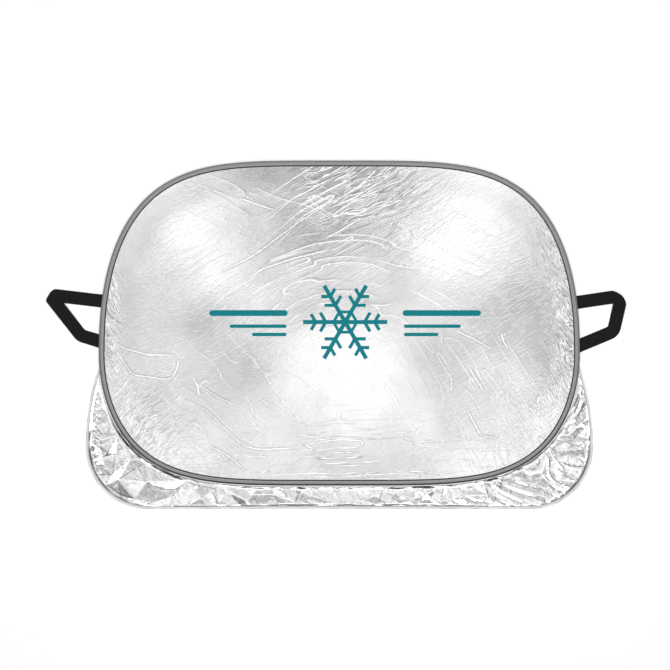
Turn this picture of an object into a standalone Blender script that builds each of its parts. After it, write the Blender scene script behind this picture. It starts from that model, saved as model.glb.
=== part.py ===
"""Windscreen snow cover, lying face up as it would on a floor.

A foil-faced panel is stretched by a sprung steel hoop that runs in a folded grey binding. A crumpled
foil skirt is caught under the lower half of the binding, and a webbing loop at each side hooks over a
wing mirror.

Metres, +Z up. X runs across the car and Y up the windscreen. The origin is on the floor, on the centre
line, under the lower edge of the panel.
"""

import math

import bmesh
import bpy
import numpy as np

# Panel outline: an upper and a lower half that share their widest level
PANEL_WIDTH = 1.394
LOWER_HEIGHT = 0.382
UPPER_HEIGHT = 0.560
UPPER_SIDE_POWER = 2.3
UPPER_END_POWER = 4.3
LOWER_SIDE_POWER = 2.0
LOWER_END_POWER = 4.6

# Clearance left between layers that are sewn or pressed together
GAP = 0.0003

# Foil-faced panel sheet, and the soft ripples that the stretched sheet keeps
SHEET_THICKNESS = 0.0012
RIPPLE_HEIGHT = 0.0024
RIPPLE_LENGTH = 0.210
CROSS_RIPPLE_LENGTH = 0.360
CROSS_RIPPLE_SLOPE = math.radians(37)
RIPPLE_FADE = 0.080

# Binding, hoop and seam
BINDING_WIDTH = 0.017
TAPE_THICKNESS = 0.0006
WIRE_DIAMETER = 0.0015
WIRE_END_GAP = 0.001
FERRULE_WALL = 0.0004
FERRULE_LENGTH = 0.030
THREAD_DIAMETER = 0.0006
SEAM_INSET = 0.003

# Skirt: it stands out past the panel at each side and below it, and its ends start below the widest level
SKIRT_SPREAD = 0.038
SKIRT_DROP = 0.067
SKIRT_CORNER_RADIUS = 0.180
SKIRT_START_DROP = 0.020
SKIRT_UNDERLAP = 0.014
SKIRT_THICKNESS = 0.0008
SKIRT_END_COVER = 0.006
GATHER_HEIGHT = 0.0065
GATHER_PITCH = 0.082
GATHER_SLANT = 0.55
GATHER_DRIFT = 0.9
GATHER_FADE = 0.070

# Silver tape on the skirt's free edge
EDGE_TAPE_WIDTH = 0.008
EDGE_TAPE_THICKNESS = 0.0004

# Webbing loops: a rise is a height above the panel's widest level, and a reach starts at its widest point
WEBBING_WIDTH = 0.038
WEBBING_THICKNESS = 0.0013
TAB_DEPTH = 0.030
KNEE_INNER_RADIUS = 0.007
LEFT_UPPER_ROOT_RISE = 0.153
LEFT_FOLD_REACH = 0.144
LEFT_FOLD_RISE = 0.171
LEFT_KNEE_REACH = 0.052
LEFT_KNEE_RISE = 0.053
LEFT_LOWER_ROOT_RISE = 0.037
RIGHT_UPPER_ROOT_RISE = 0.149
RIGHT_FOLD_REACH = 0.121
RIGHT_FOLD_RISE = 0.168
RIGHT_KNEE_REACH = 0.098
RIGHT_KNEE_RISE = 0.065
RIGHT_LOWER_ROOT_RISE = 0.024

# How finely the shapes are divided
DENSE_POINTS = 4000
RIM_POINTS = 96
SKIRT_COLUMNS = 104
SKIRT_ROWS = 4
SHEET_COLUMNS = 34
SHEET_ROWS = 24
FOLD_STEPS = 4
TUNNEL_STEPS = 5
ROLL_STEPS = 6
KNEE_STEPS = 6
RAMP_STEPS = 6

# Half thicknesses of the binding's section, from its lips to the tunnel that holds the hoop
CHANNEL_HALF = SHEET_THICKNESS / 2 + GAP
LIP_HALF = CHANNEL_HALF + TAPE_THICKNESS
FERRULE_RADIUS = WIRE_DIAMETER / 2 + GAP + FERRULE_WALL
TUNNEL_RADIUS = max(FERRULE_RADIUS + GAP, CHANNEL_HALF + GAP)
FOLD_RADIUS = TUNNEL_RADIUS + TAPE_THICKNESS

# Height of the panel sheet's middle, over the taped skirt and the webbing that lie under the rim
TAPED_EDGE = SKIRT_THICKNESS + GAP + EDGE_TAPE_THICKNESS
UNDER_LAYER = max(TAPED_EDGE, WEBBING_THICKNESS)
PANEL_PLANE = UNDER_LAYER + GAP + FOLD_RADIUS

HALF_WIDTH = PANEL_WIDTH / 2
PANEL_HEIGHT = LOWER_HEIGHT + UPPER_HEIGHT
SKIRT_TOP_LEVEL = LOWER_HEIGHT - SKIRT_START_DROP

COLOURS = {
    "foil": ((0.86, 0.86, 0.87), 0.30, 0.9),
    "grey_tape": ((0.30, 0.30, 0.32), 0.65, 0.0),
    "grey_thread": ((0.16, 0.16, 0.17), 0.70, 0.0),
    "edge_tape": ((0.80, 0.80, 0.81), 0.25, 0.6),
    "spring_steel": ((0.45, 0.45, 0.46), 0.35, 1.0),
    "plated_steel": ((0.62, 0.62, 0.60), 0.30, 1.0),
    "black_webbing": ((0.015, 0.015, 0.016), 0.80, 0.0),
}


def clear_scene():
    """Removes the objects of the scene that the script starts in."""
    for thing in list(bpy.data.objects):
        bpy.data.objects.remove(thing)


def collection_named(name):
    """A new collection in the scene."""
    made = bpy.data.collections.new(name)
    bpy.context.scene.collection.children.link(made)
    return made


def material_named(name):
    """The Principled material of that name, made once."""
    found = bpy.data.materials.get(name)
    if found:
        return found
    colour, roughness, metallic = COLOURS[name]
    made = bpy.data.materials.new(name)
    made.use_nodes = True
    shader = made.node_tree.nodes["Principled BSDF"]
    shader.inputs["Base Color"].default_value = (*colour, 1.0)
    shader.inputs["Roughness"].default_value = roughness
    shader.inputs["Metallic"].default_value = metallic
    return made


def smoothstep(values):
    """0 below 0, 1 above 1, with a smooth rise between."""
    clipped = np.clip(values, 0.0, 1.0)
    return clipped * clipped * (3 - 2 * clipped)


def resample(points, count, closed=False):
    """count points at equal distances along a line; a closed line's first point isn't repeated."""
    line = np.vstack([points, points[:1]]) if closed else np.asarray(points)
    along = np.concatenate([[0.0], np.cumsum(np.linalg.norm(np.diff(line, axis=0), axis=1))])
    at = np.linspace(0.0, along[-1], count + 1 if closed else count)
    at = at[:-1] if closed else at
    return np.column_stack([np.interp(at, along, line[:, k]) for k in range(line.shape[1])])


def inward_normals(line):
    """Unit plan normals of a line that runs anticlockwise, at each of its points."""
    along = np.gradient(line, axis=0)
    along /= np.linalg.norm(along, axis=1)[:, None]
    return np.column_stack([-along[:, 1], along[:, 0]])


def offset_inwards(line, distance):
    """A line that runs anticlockwise, moved inwards by distance along its normals."""
    return line + distance * inward_normals(line)


def half_outline(angles, height, end_power, side_power):
    """Points with |x / half width|^end_power + |y / height|^side_power = 1, at these angles."""
    across = np.sign(np.cos(angles)) * np.abs(np.cos(angles)) ** (2 / end_power)
    up = np.sign(np.sin(angles)) * np.abs(np.sin(angles)) ** (2 / side_power)
    return np.column_stack([HALF_WIDTH * across, LOWER_HEIGHT + height * up])


def panel_outline(inset=0.0):
    """The panel's outline, anticlockwise from the middle of the top edge, moved inwards by inset."""
    angles = np.linspace(0.0, 2 * math.pi, DENSE_POINTS, endpoint=False) + math.pi / 2
    upper = half_outline(angles, UPPER_HEIGHT, UPPER_END_POWER, UPPER_SIDE_POWER)
    lower = half_outline(angles, LOWER_HEIGHT, LOWER_END_POWER, LOWER_SIDE_POWER)
    outline = np.where((np.sin(angles) > 0)[:, None], upper, lower)
    even = resample(outline, DENSE_POINTS, closed=True)
    return resample(offset_inwards(even, inset), DENSE_POINTS, closed=True)


def half_width_at(level):
    """Half the panel's width at a height above its lower edge."""
    rise = level - LOWER_HEIGHT
    if rise > 0:
        share = 1 - (rise / UPPER_HEIGHT) ** UPPER_SIDE_POWER
        return HALF_WIDTH * share ** (1 / UPPER_END_POWER)
    share = 1 - (-rise / LOWER_HEIGHT) ** LOWER_SIDE_POWER
    return HALF_WIDTH * share ** (1 / LOWER_END_POWER)


def grid_object(name, places, material, collection):
    """A grid mesh whose vertex (i, j) lies at places[i, j], with its first face turned up."""
    columns, rows = places.shape[0] - 1, places.shape[1] - 1
    bm = bmesh.new()
    bmesh.ops.create_grid(bm, x_segments=columns, y_segments=rows, size=1.0)
    for vertex in bm.verts:
        i = round((vertex.co.x + 1) / 2 * columns)
        j = round((vertex.co.y + 1) / 2 * rows)
        vertex.co = places[i, j]
    bm.normal_update()
    bm.faces.ensure_lookup_table()
    if bm.faces[0].normal.z < 0:
        bmesh.ops.reverse_faces(bm, faces=bm.faces)
    mesh = bpy.data.meshes.new(name)
    bm.to_mesh(mesh)
    bm.free()
    mesh.materials.append(material_named(material))
    made = bpy.data.objects.new(name, mesh)
    collection.objects.link(made)
    return made


def thicken(sheet, thickness, offset):
    """Gives an open sheet its thickness: offset 0 is to both sides, 1 is upwards."""
    solid = sheet.modifiers.new("Thickness", "SOLIDIFY")
    solid.thickness = thickness
    solid.offset = offset
    solid.use_even_offset = True
    sheet.data.shade_smooth()
    sheet.data.set_sharp_from_angle(angle=math.radians(50))


def poly_curve(name, points, height, closed, collection, flat=True):
    """A curve through plan points at one height."""
    curve = bpy.data.curves.new(name, "CURVE")
    curve.dimensions = "2D" if flat else "3D"
    curve.fill_mode = "NONE" if flat else "FULL"
    curve.use_fill_caps = True
    spline = curve.splines.new("POLY")
    spline.points.add(len(points) - 1)
    for point, (x, y) in zip(spline.points, points):
        point.co = (x, y, 0.0, 1.0)
    spline.use_cyclic_u = closed
    made = bpy.data.objects.new(name, curve)
    made.location.z = height
    collection.objects.link(made)
    return made


def section_guide(name, points, collection):
    """A closed section to be swept along a curve; it isn't a piece of the cover."""
    guide = poly_curve(name, points, 0.0, True, collection)
    guide.hide_render = True
    guide.display_type = "WIRE"
    return guide


def binding_section():
    """Section of the folded tape: x is towards the panel's middle, from the hoop's centre line."""
    lip = BINDING_WIDTH - FOLD_RADIUS
    fold = np.linspace(-math.pi / 2, -3 * math.pi / 2, FOLD_STEPS + 1)
    outside = [(FOLD_RADIUS * math.cos(a), FOLD_RADIUS * math.sin(a)) for a in fold]
    mouth = math.asin(CHANNEL_HALF / TUNNEL_RADIUS)
    tunnel = np.linspace(mouth, 2 * math.pi - mouth, TUNNEL_STEPS + 1)
    corner = TUNNEL_RADIUS / math.cos((math.pi - mouth) / TUNNEL_STEPS)
    inside = [(corner * math.cos(a), corner * math.sin(a)) for a in tunnel]
    return [(lip, -LIP_HALF), *outside, (lip, LIP_HALF), (lip, CHANNEL_HALF), *inside, (lip, -CHANNEL_HALF)]


def build_binding(collection, guides):
    """The grey tape folded round the panel's edge, a closed ring swept along the hoop's line."""
    path = resample(panel_outline(FOLD_RADIUS), RIM_POINTS, closed=True)
    ring = poly_curve("edge_binding", path, PANEL_PLANE, True, collection)
    ring.data.bevel_mode = "OBJECT"
    ring.data.bevel_object = section_guide("binding_section", binding_section(), guides)
    ring.data.materials.append(material_named("grey_tape"))


def build_hoop(collection):
    """The sprung wire in the binding's tunnel, open where the ferrule holds its two ends."""
    path = resample(panel_outline(FOLD_RADIUS), RIM_POINTS, closed=True)
    first = path[0] - (WIRE_END_GAP / 2, 0.0)
    last = path[0] + (WIRE_END_GAP / 2, 0.0)
    hoop = poly_curve("spring_hoop", [first, *path[1:], last], PANEL_PLANE, False, collection, flat=False)
    hoop.data.bevel_depth = WIRE_DIAMETER / 2
    hoop.data.bevel_resolution = 1
    hoop.data.materials.append(material_named("spring_steel"))


def build_ferrule(collection):
    """The crimped tube over the hoop's ends, turned about the wire at the top of the panel."""
    bore = WIRE_DIAMETER / 2 + GAP
    half = FERRULE_LENGTH / 2
    mesh = bpy.data.meshes.new("hoop_ferrule")
    wall = [(-half, 0, bore), (half, 0, bore), (half, 0, FERRULE_RADIUS), (-half, 0, FERRULE_RADIUS)]
    mesh.from_pydata(wall, [(0, 1), (1, 2), (2, 3), (3, 0)], [])
    mesh.materials.append(material_named("plated_steel"))
    ferrule = bpy.data.objects.new("hoop_ferrule", mesh)
    ferrule.location = (0.0, PANEL_HEIGHT - FOLD_RADIUS, PANEL_PLANE)
    collection.objects.link(ferrule)
    turn = ferrule.modifiers.new("Turn", "SCREW")
    turn.axis = "X"
    turn.steps = 16
    turn.render_steps = 16
    turn.use_merge_vertices = True
    turn.merge_threshold = 0.00001


def build_seam_thread(collection):
    """The line of stitching along the inner edge of the binding's face."""
    lip = BINDING_WIDTH - FOLD_RADIUS
    from_fold = lip - SEAM_INSET
    face = FOLD_RADIUS + (LIP_HALF - FOLD_RADIUS) * from_fold / lip
    path = resample(panel_outline(BINDING_WIDTH - SEAM_INSET), RIM_POINTS, closed=True)
    height = PANEL_PLANE + face + GAP + THREAD_DIAMETER / 2
    thread = poly_curve("binding_seam_thread", path, height, True, collection, flat=False)
    thread.data.bevel_depth = THREAD_DIAMETER / 2
    thread.data.bevel_resolution = 0
    thread.data.materials.append(material_named("grey_thread"))


def ripple(x, y):
    """Height of the stretched sheet's soft ripples, which bow round the lower middle of the panel."""
    rise = y - LOWER_HEIGHT / 2
    bow = np.hypot(x * UPPER_HEIGHT / HALF_WIDTH, rise)
    wave = np.sin(2 * math.pi * bow / RIPPLE_LENGTH + np.sin(3 * np.arctan2(rise, x)))
    along = x * math.cos(CROSS_RIPPLE_SLOPE) + y * math.sin(CROSS_RIPPLE_SLOPE)
    cross = np.sin(2 * math.pi * along / CROSS_RIPPLE_LENGTH)
    return RIPPLE_HEIGHT * (2 + wave + cross) / 4


def spread_over(outline, columns, rows):
    """Plan points of a grid of columns and rows, spread from the panel's middle out to a closed outline.

    Each square ring of the grid becomes a shrunken copy of the outline, whose points run anticlockwise from
    the middle of the top edge.
    """
    across, up = np.meshgrid(np.linspace(-1, 1, columns + 1), np.linspace(-1, 1, rows + 1), indexing="ij")
    out = np.maximum(np.abs(across), np.abs(up))
    side_x, side_y = across / np.maximum(out, 1e-9), up / np.maximum(out, 1e-9)
    top = (1 - side_x) * HALF_WIDTH
    left = 2 * HALF_WIDTH + (1 - side_y) * PANEL_HEIGHT / 2
    bottom = 2 * HALF_WIDTH + PANEL_HEIGHT + (1 + side_x) * HALF_WIDTH
    right = 4 * HALF_WIDTH + PANEL_HEIGHT + (1 + side_y) * PANEL_HEIGHT / 2
    on_side = [side_y > 1 - 1e-6, side_x < -1 + 1e-6, side_y < -1 + 1e-6]
    walked = np.select(on_side, [top, left, bottom], right) - HALF_WIDTH
    share = walked / (4 * HALF_WIDTH + 2 * PANEL_HEIGHT) % 1.0
    ring = np.vstack([outline, outline[:1]])
    spots = np.linspace(0.0, 1.0, len(ring))
    middle = PANEL_HEIGHT / 2
    x = out * np.interp(share, spots, ring[:, 0])
    y = middle + out * (np.interp(share, spots, ring[:, 1]) - middle)
    return np.dstack([x, y])


def build_panel_sheet(collection):
    """The foil-faced sheet: flat between the binding's lips, and softly rippled inside them."""
    edge = panel_outline(FOLD_RADIUS + TUNNEL_RADIUS + GAP)
    lip = panel_outline(BINDING_WIDTH + SHEET_THICKNESS)
    places = spread_over(edge, SHEET_COLUMNS, SHEET_ROWS)
    places[1:-1, 1:-1] = spread_over(lip, SHEET_COLUMNS - 2, SHEET_ROWS - 2)
    x, y = places[:, :, 0], places[:, :, 1]
    to_lip = np.hypot(x[:, :, None] - lip[::8, 0], y[:, :, None] - lip[::8, 1]).min(axis=2)
    to_lip[[0, -1], :] = 0.0
    to_lip[:, [0, -1]] = 0.0
    z = PANEL_PLANE + ripple(x, y) * smoothstep(to_lip / RIPPLE_FADE)
    sheet = grid_object("panel_sheet", np.dstack([places, z]), "foil", collection)
    thicken(sheet, SHEET_THICKNESS, 0.0)


def arc(centre, radius, start, end, steps=120):
    """Points of an arc in plan, from one angle to another."""
    angles = np.linspace(start, end, steps)
    return np.column_stack([centre[0] + radius * np.cos(angles), centre[1] + radius * np.sin(angles)])


def skirt_edge():
    """The skirt's free edge, from its left end under the rim, round the bottom, to its right end."""
    widest = HALF_WIDTH + SKIRT_SPREAD
    widest_level = SKIRT_CORNER_RADIUS - SKIRT_DROP
    bulge = widest - half_width_at(SKIRT_TOP_LEVEL) + SKIRT_END_COVER
    rise = SKIRT_TOP_LEVEL - widest_level
    side_radius = (bulge**2 + rise**2) / (2 * bulge)
    swing = math.asin(rise / side_radius)
    side = arc((side_radius - widest, widest_level), side_radius, math.pi - swing, math.pi)
    corner_centre = (SKIRT_CORNER_RADIUS - widest, widest_level)
    corner = arc(corner_centre, SKIRT_CORNER_RADIUS, math.pi, 3 * math.pi / 2)
    half = np.vstack([side, corner[1:], [(0.0, -SKIRT_DROP)]])
    mirrored = half[-2::-1] * (-1, 1)
    return np.vstack([half, mirrored])


def skirt_seam():
    """The skirt's sewn edge, hidden under the binding from the left end round to the right end."""
    line = panel_outline(SKIRT_UNDERLAP)
    return line[line[:, 1] < SKIRT_TOP_LEVEL]


def gathers(along, out, showing):
    """Height of the gathers: none at the rim or at the edge tape, and lower where the skirt is narrow."""
    phase = 2 * math.pi * (along / GATHER_PITCH + GATHER_SLANT * out)
    wave = (1 + np.sin(phase + GATHER_DRIFT * np.sin(0.37 * phase))) / 2
    return GATHER_HEIGHT * smoothstep(showing / GATHER_FADE) * np.sin(math.pi * out) * wave


def build_skirt(collection):
    """The crumpled foil skirt: a sheet between the seam under the rim and the taped free edge."""
    inner = resample(skirt_seam(), SKIRT_COLUMNS + 1)
    outer = resample(skirt_edge(), SKIRT_COLUMNS + 1)
    across = outer - inner
    width = np.linalg.norm(across, axis=1)
    covered = BINDING_WIDTH * width / np.abs(np.sum(across * inward_normals(inner), axis=1))
    taped = (EDGE_TAPE_WIDTH + 2 * GAP) * width / np.abs(np.sum(across * inward_normals(outer), axis=1))
    showing = np.maximum(0.0, width - covered - taped)
    room = np.maximum(showing, width / 4)
    first = (width - room) / width * covered / (covered + taped)
    out = np.linspace(0, 1, SKIRT_ROWS + 1)
    shares = first[:, None] + (room / width)[:, None] * out
    shares = np.column_stack([np.zeros_like(width), shares, np.ones_like(width)])
    places = inner[:, None, :] + across[:, None, :] * shares[:, :, None]
    steps = np.linalg.norm(np.diff(outer, axis=0), axis=1)
    along = np.concatenate([[0.0], np.cumsum(steps)])
    heights = np.zeros(shares.shape)
    heights[:, 1:-1] = gathers(along[:, None], out[None, :], showing[:, None])
    skirt = grid_object("skirt_sheet", np.dstack([places, heights]), "foil", collection)
    thicken(skirt, SKIRT_THICKNESS, 1.0)


def build_edge_tape(collection, guides):
    """The silver tape pressed on to the skirt's free edge."""
    half, thick = EDGE_TAPE_WIDTH / 2, EDGE_TAPE_THICKNESS / 2
    path = resample(offset_inwards(skirt_edge(), half), SKIRT_COLUMNS + 1)
    height = TAPED_EDGE - thick
    tape = poly_curve("skirt_edge_tape", path, height, False, collection)
    section = [(-half, -thick), (-half, thick), (half, thick), (half, -thick)]
    tape.data.bevel_mode = "OBJECT"
    tape.data.bevel_object = section_guide("edge_tape_section", section, guides)
    tape.data.materials.append(material_named("edge_tape"))


def unit(vector):
    """The vector at length one."""
    return vector / np.linalg.norm(vector)


def beside(direction):
    """The plan direction a quarter turn to the left."""
    return np.array([-direction[1], direction[0]])


def webbing_rows(tab, fold, knee, end):
    """Edge points of a flat webbing loop, row by row.

    It runs from its upper tab to the fold, turns over on a diagonal crease there so that it comes back on
    top of itself, bends in its own plane at the knee, and ends at its lower tab.
    """
    half = WEBBING_WIDTH / 2
    low = WEBBING_THICKNESS / 2
    roll = low + GAP / 2
    into, back, last = unit(fold - tab), unit(knee - fold), unit(end - knee)
    crease = unit(into + back)
    crease = crease if crease @ beside(into) > 0 else -crease
    turning = WEBBING_WIDTH / abs(into @ beside(crease))
    rows = []

    def add(centre, height, cross):
        rows.append([(*(centre - cross), height), (*(centre + cross), height)])

    def slanted(direction, from_fold):
        """Half of a row across the webbing: along the crease at the fold, and square past its turn."""
        near = float(smoothstep(1 - from_fold / turning))
        square = beside(direction)
        square = square if square @ crease > 0 else -square
        cross = unit(square * (1 - near) + crease * near)
        return cross * half / abs(cross @ beside(direction))

    length = np.linalg.norm(fold - tab)
    for from_fold in [length, *np.linspace(turning, 0, RAMP_STEPS)]:
        add(fold - from_fold * into, low, slanted(into, from_fold))
    for angle in np.linspace(0, math.pi, ROLL_STEPS + 1)[1:]:
        rolled = fold + roll * math.sin(angle) * unit(into - back)
        add(rolled, low + roll * (1 - math.cos(angle)), slanted(into, 0.0))

    opening = math.acos(float(-into @ back))
    covered = half / math.tan(opening / 2) + half / 4
    turn = math.atan2(back[0] * last[1] - back[1] * last[0], back @ last)
    bend = KNEE_INNER_RADIUS + half
    straight = np.linalg.norm(knee - fold) - bend * math.tan(abs(turn) / 2)
    for from_fold in np.linspace(0, straight, 2 * RAMP_STEPS)[1:]:
        lifted = 1 - float(smoothstep((from_fold - covered) / (straight - covered)))
        add(fold + from_fold * back, low + 2 * roll * lifted, slanted(back, from_fold))

    across = slanted(back, turning)
    inner = beside(back) * math.copysign(bend, turn)
    centre = fold + straight * back + inner
    for angle in np.linspace(0, turn, KNEE_STEPS + 1)[1:]:
        spin = np.array([[math.cos(angle), -math.sin(angle)], [math.sin(angle), math.cos(angle)]])
        add(centre - spin @ inner, low, spin @ across)
    add(end, low, spin @ across)
    return np.array(rows)


def build_strap(name, side, upper, fold, knee, lower, collection):
    """One webbing loop: upper and lower are rises at the rim, and fold and knee are (reach, rise)."""

    def outside(reach, rise):
        return np.array([side * (HALF_WIDTH + reach), LOWER_HEIGHT + rise])

    def root(rise):
        level = LOWER_HEIGHT + rise
        return np.array([side * half_width_at(level), level])

    fold_point, knee_point = outside(*fold), outside(*knee)
    tab = root(upper) - TAB_DEPTH * unit(fold_point - root(upper))
    end = root(lower) + TAB_DEPTH * unit(root(lower) - knee_point)
    places = webbing_rows(tab, fold_point, knee_point, end)
    strap = grid_object(name, places, "black_webbing", collection)
    thicken(strap, WEBBING_THICKNESS, 0.0)


def main():
    clear_scene()
    pieces = collection_named("windscreen_snow_cover")
    guides = collection_named("guides")
    build_panel_sheet(pieces)
    build_binding(pieces, guides)
    build_hoop(pieces)
    build_ferrule(pieces)
    build_seam_thread(pieces)
    build_skirt(pieces)
    build_edge_tape(pieces, guides)
    left_fold = (LEFT_FOLD_REACH, LEFT_FOLD_RISE)
    left_knee = (LEFT_KNEE_REACH, LEFT_KNEE_RISE)
    build_strap("left_strap", -1, LEFT_UPPER_ROOT_RISE, left_fold, left_knee, LEFT_LOWER_ROOT_RISE, pieces)
    right_fold = (RIGHT_FOLD_REACH, RIGHT_FOLD_RISE)
    right_knee = (RIGHT_KNEE_REACH, RIGHT_KNEE_RISE)
    build_strap("right_strap", 1, RIGHT_UPPER_ROOT_RISE, right_fold, right_knee, RIGHT_LOWER_ROOT_RISE, pieces)


main()
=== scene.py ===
"""Windscreen snow cover: its finished surfaces, materials and studio.

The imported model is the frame: it fixes every size and place, and the pieces made here stand for its soft
parts. Metres, +Z up, X across the car and Y up the windscreen, with the floor at zero.
"""

import math

import bpy
import numpy as np
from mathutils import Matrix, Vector
from mathutils.geometry import delaunay_2d_cdt


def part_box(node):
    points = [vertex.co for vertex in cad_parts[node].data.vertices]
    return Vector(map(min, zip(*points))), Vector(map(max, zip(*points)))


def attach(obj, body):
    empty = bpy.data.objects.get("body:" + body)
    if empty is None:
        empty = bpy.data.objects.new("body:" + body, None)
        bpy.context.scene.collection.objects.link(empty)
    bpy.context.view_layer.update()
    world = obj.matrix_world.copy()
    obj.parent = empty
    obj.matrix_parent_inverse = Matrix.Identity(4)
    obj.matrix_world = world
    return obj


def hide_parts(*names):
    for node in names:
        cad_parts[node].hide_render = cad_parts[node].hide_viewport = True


bl_info = {
    "name": "Windscreen Snow Cover",
    "version": (1, 0, 0),
    "blender": (4, 5, 0),
    "location": "3D View > Sidebar > Snow Cover",
    "description": "Foil panel, crumpled skirt, grey binding and webbing loops of a windscreen snow cover",
    "category": "Object",
}

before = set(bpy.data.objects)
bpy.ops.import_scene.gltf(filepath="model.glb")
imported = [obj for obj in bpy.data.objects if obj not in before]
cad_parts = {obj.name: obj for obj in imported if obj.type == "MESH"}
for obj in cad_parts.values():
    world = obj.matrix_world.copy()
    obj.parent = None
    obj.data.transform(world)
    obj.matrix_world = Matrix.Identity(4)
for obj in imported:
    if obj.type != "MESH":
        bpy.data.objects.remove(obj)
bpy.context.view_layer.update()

# Panel outline: an upper and a lower half that share their widest level
HALF_WIDTH = 0.697
LOWER_HEIGHT = 0.382
UPPER_HEIGHT = 0.560
UPPER_SIDE_POWER = 2.3
UPPER_END_POWER = 4.3
LOWER_SIDE_POWER = 2.0
LOWER_END_POWER = 4.6
PANEL_HEIGHT = LOWER_HEIGHT + UPPER_HEIGHT

# Sheets and tapes
GAP = 0.0003
SHEET_THICKNESS = 0.0012
RIPPLE_HEIGHT = 0.0024
RIPPLE_LENGTH = 0.210
CROSS_RIPPLE_LENGTH = 0.360
CROSS_RIPPLE_SLOPE = math.radians(37)
RIPPLE_FADE = 0.080
BINDING_WIDTH = 0.017
TAPE_THICKNESS = 0.0006
SEAM_INSET = 0.003
THREAD_DIAMETER = 0.0006
CHANNEL_HALF = SHEET_THICKNESS / 2 + GAP
LIP_HALF = CHANNEL_HALF + TAPE_THICKNESS
TUNNEL_RADIUS = 0.00175
FOLD_RADIUS = TUNNEL_RADIUS + TAPE_THICKNESS
SHEET_INSET = FOLD_RADIUS + TUNNEL_RADIUS + GAP
RIM_LOW, RIM_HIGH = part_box("edge_binding")
PANEL_PLANE = (RIM_LOW[2] + RIM_HIGH[2]) / 2

# Skirt and its edge tape
SKIRT_SPREAD = 0.038
SKIRT_DROP = 0.067
SKIRT_CORNER_RADIUS = 0.180
SKIRT_TOP_LEVEL = LOWER_HEIGHT - 0.020
SKIRT_UNDERLAP = 0.014
SKIRT_THICKNESS = 0.0008
SKIRT_END_COVER = 0.006
EDGE_TAPE_WIDTH = 0.008
EDGE_TAPE_THICKNESS = 0.0004

# Gaps between the scene's own layers, and how deep a crease of the panel may sink
LAYER_GAP = 0.00003
FLOOR_GAP = 0.00005
CREASE_SINK = 0.4 * SHEET_THICKNESS

# Distances over which creases and folds rise: from a crease's line, from the rim and from the hem
CREASE_REACH = 0.0045
LONG_CREASE_REACH = 0.009
LIP_RAMP = 0.012
RIM_RAMP = 0.010
HEM_RAMP = 0.008
RAMP_SWAY = 0.004
HEM_LIFT_RAMP = 0.030
FACET_RIM_RAMP = 0.022
FACET_HEM_RAMP = 0.016

# Webbing loops: folds and knees are (reach, rise), from the widest point and above the widest level
WEBBING_WIDTH = 0.038
WEBBING_THICKNESS = 0.0013
TAB_DEPTH = 0.030
KNEE_INNER_RADIUS = 0.007
LEFT_UPPER_ROOT_RISE = 0.153
LEFT_FOLD = (0.144, 0.171)
LEFT_KNEE = (0.052, 0.053)
LEFT_LOWER_ROOT_RISE = 0.037
LEFT_CORNER_RADII = (0.011, 0.003)
RIGHT_UPPER_ROOT_RISE = 0.149
RIGHT_FOLD = (0.121, 0.168)
RIGHT_KNEE = (0.098, 0.065)
RIGHT_LOWER_ROOT_RISE = 0.024
RIGHT_CORNER_RADII = (0.012, 0.016)

# How finely the surfaces are divided
DENSE_POINTS = 4000
COARSE_COLUMNS = 60
COARSE_ROWS = 42
FACE_FINENESS = 6
BACK_FINENESS = 4
SKIRT_COLUMNS = 880
SKIRT_ROWS = 48
RIM_STEPS = 900
STITCH_COUNT = 960
FOLD_ROWS = 26
TABLE_SIZE = 256

# Studio: the middle of the picture, the width that it shows of the floor, and the heights of the lights
MIDDLE = (-0.0125, 0.4365)
SEEN_WIDTH = 1.943
FLOOR_REACH = 12.0
FLOOR_LEVEL = -0.0002
SPOT_HEIGHT = 1.3
GLOW_HEIGHT = 1.7
CEILING = 3.2
SIDE_HEIGHT = 3.3


class CoverShapes(bpy.types.PropertyGroup):
    """Heights of the foil's relief, and the size of the stitches."""

    crease_height: bpy.props.FloatProperty(
        name="Crease height", description="Height of the tallest creases of the panel's foil",
        default=0.0010, min=0.0, max=0.0015, unit="LENGTH",
    )
    back_crease_height: bpy.props.FloatProperty(
        name="Back crease height", description="Height of the creases of the panel's back",
        default=0.0004, min=0.0, max=0.0015, unit="LENGTH",
    )
    fold_height: bpy.props.FloatProperty(
        name="Skirt fold height", description="Height of the large folds at the skirt's corners",
        default=0.0120, min=0.0, max=0.014, unit="LENGTH",
    )
    crumple_height: bpy.props.FloatProperty(
        name="Skirt crumple height", description="Height of the small crumples between the skirt's folds",
        default=0.0009, min=0.0, max=0.003, unit="LENGTH",
    )
    hem_lift: bpy.props.FloatProperty(
        name="Hem lift",
        description="How far the taped hem rises off the floor between the places where it rests",
        default=0.0009, min=0.0, max=0.006, unit="LENGTH",
    )
    stitch_length: bpy.props.FloatProperty(
        name="Stitch length", description="Length of each stitch that shows along the binding",
        default=0.0030, min=0.001, max=0.004, unit="LENGTH",
    )


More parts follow.
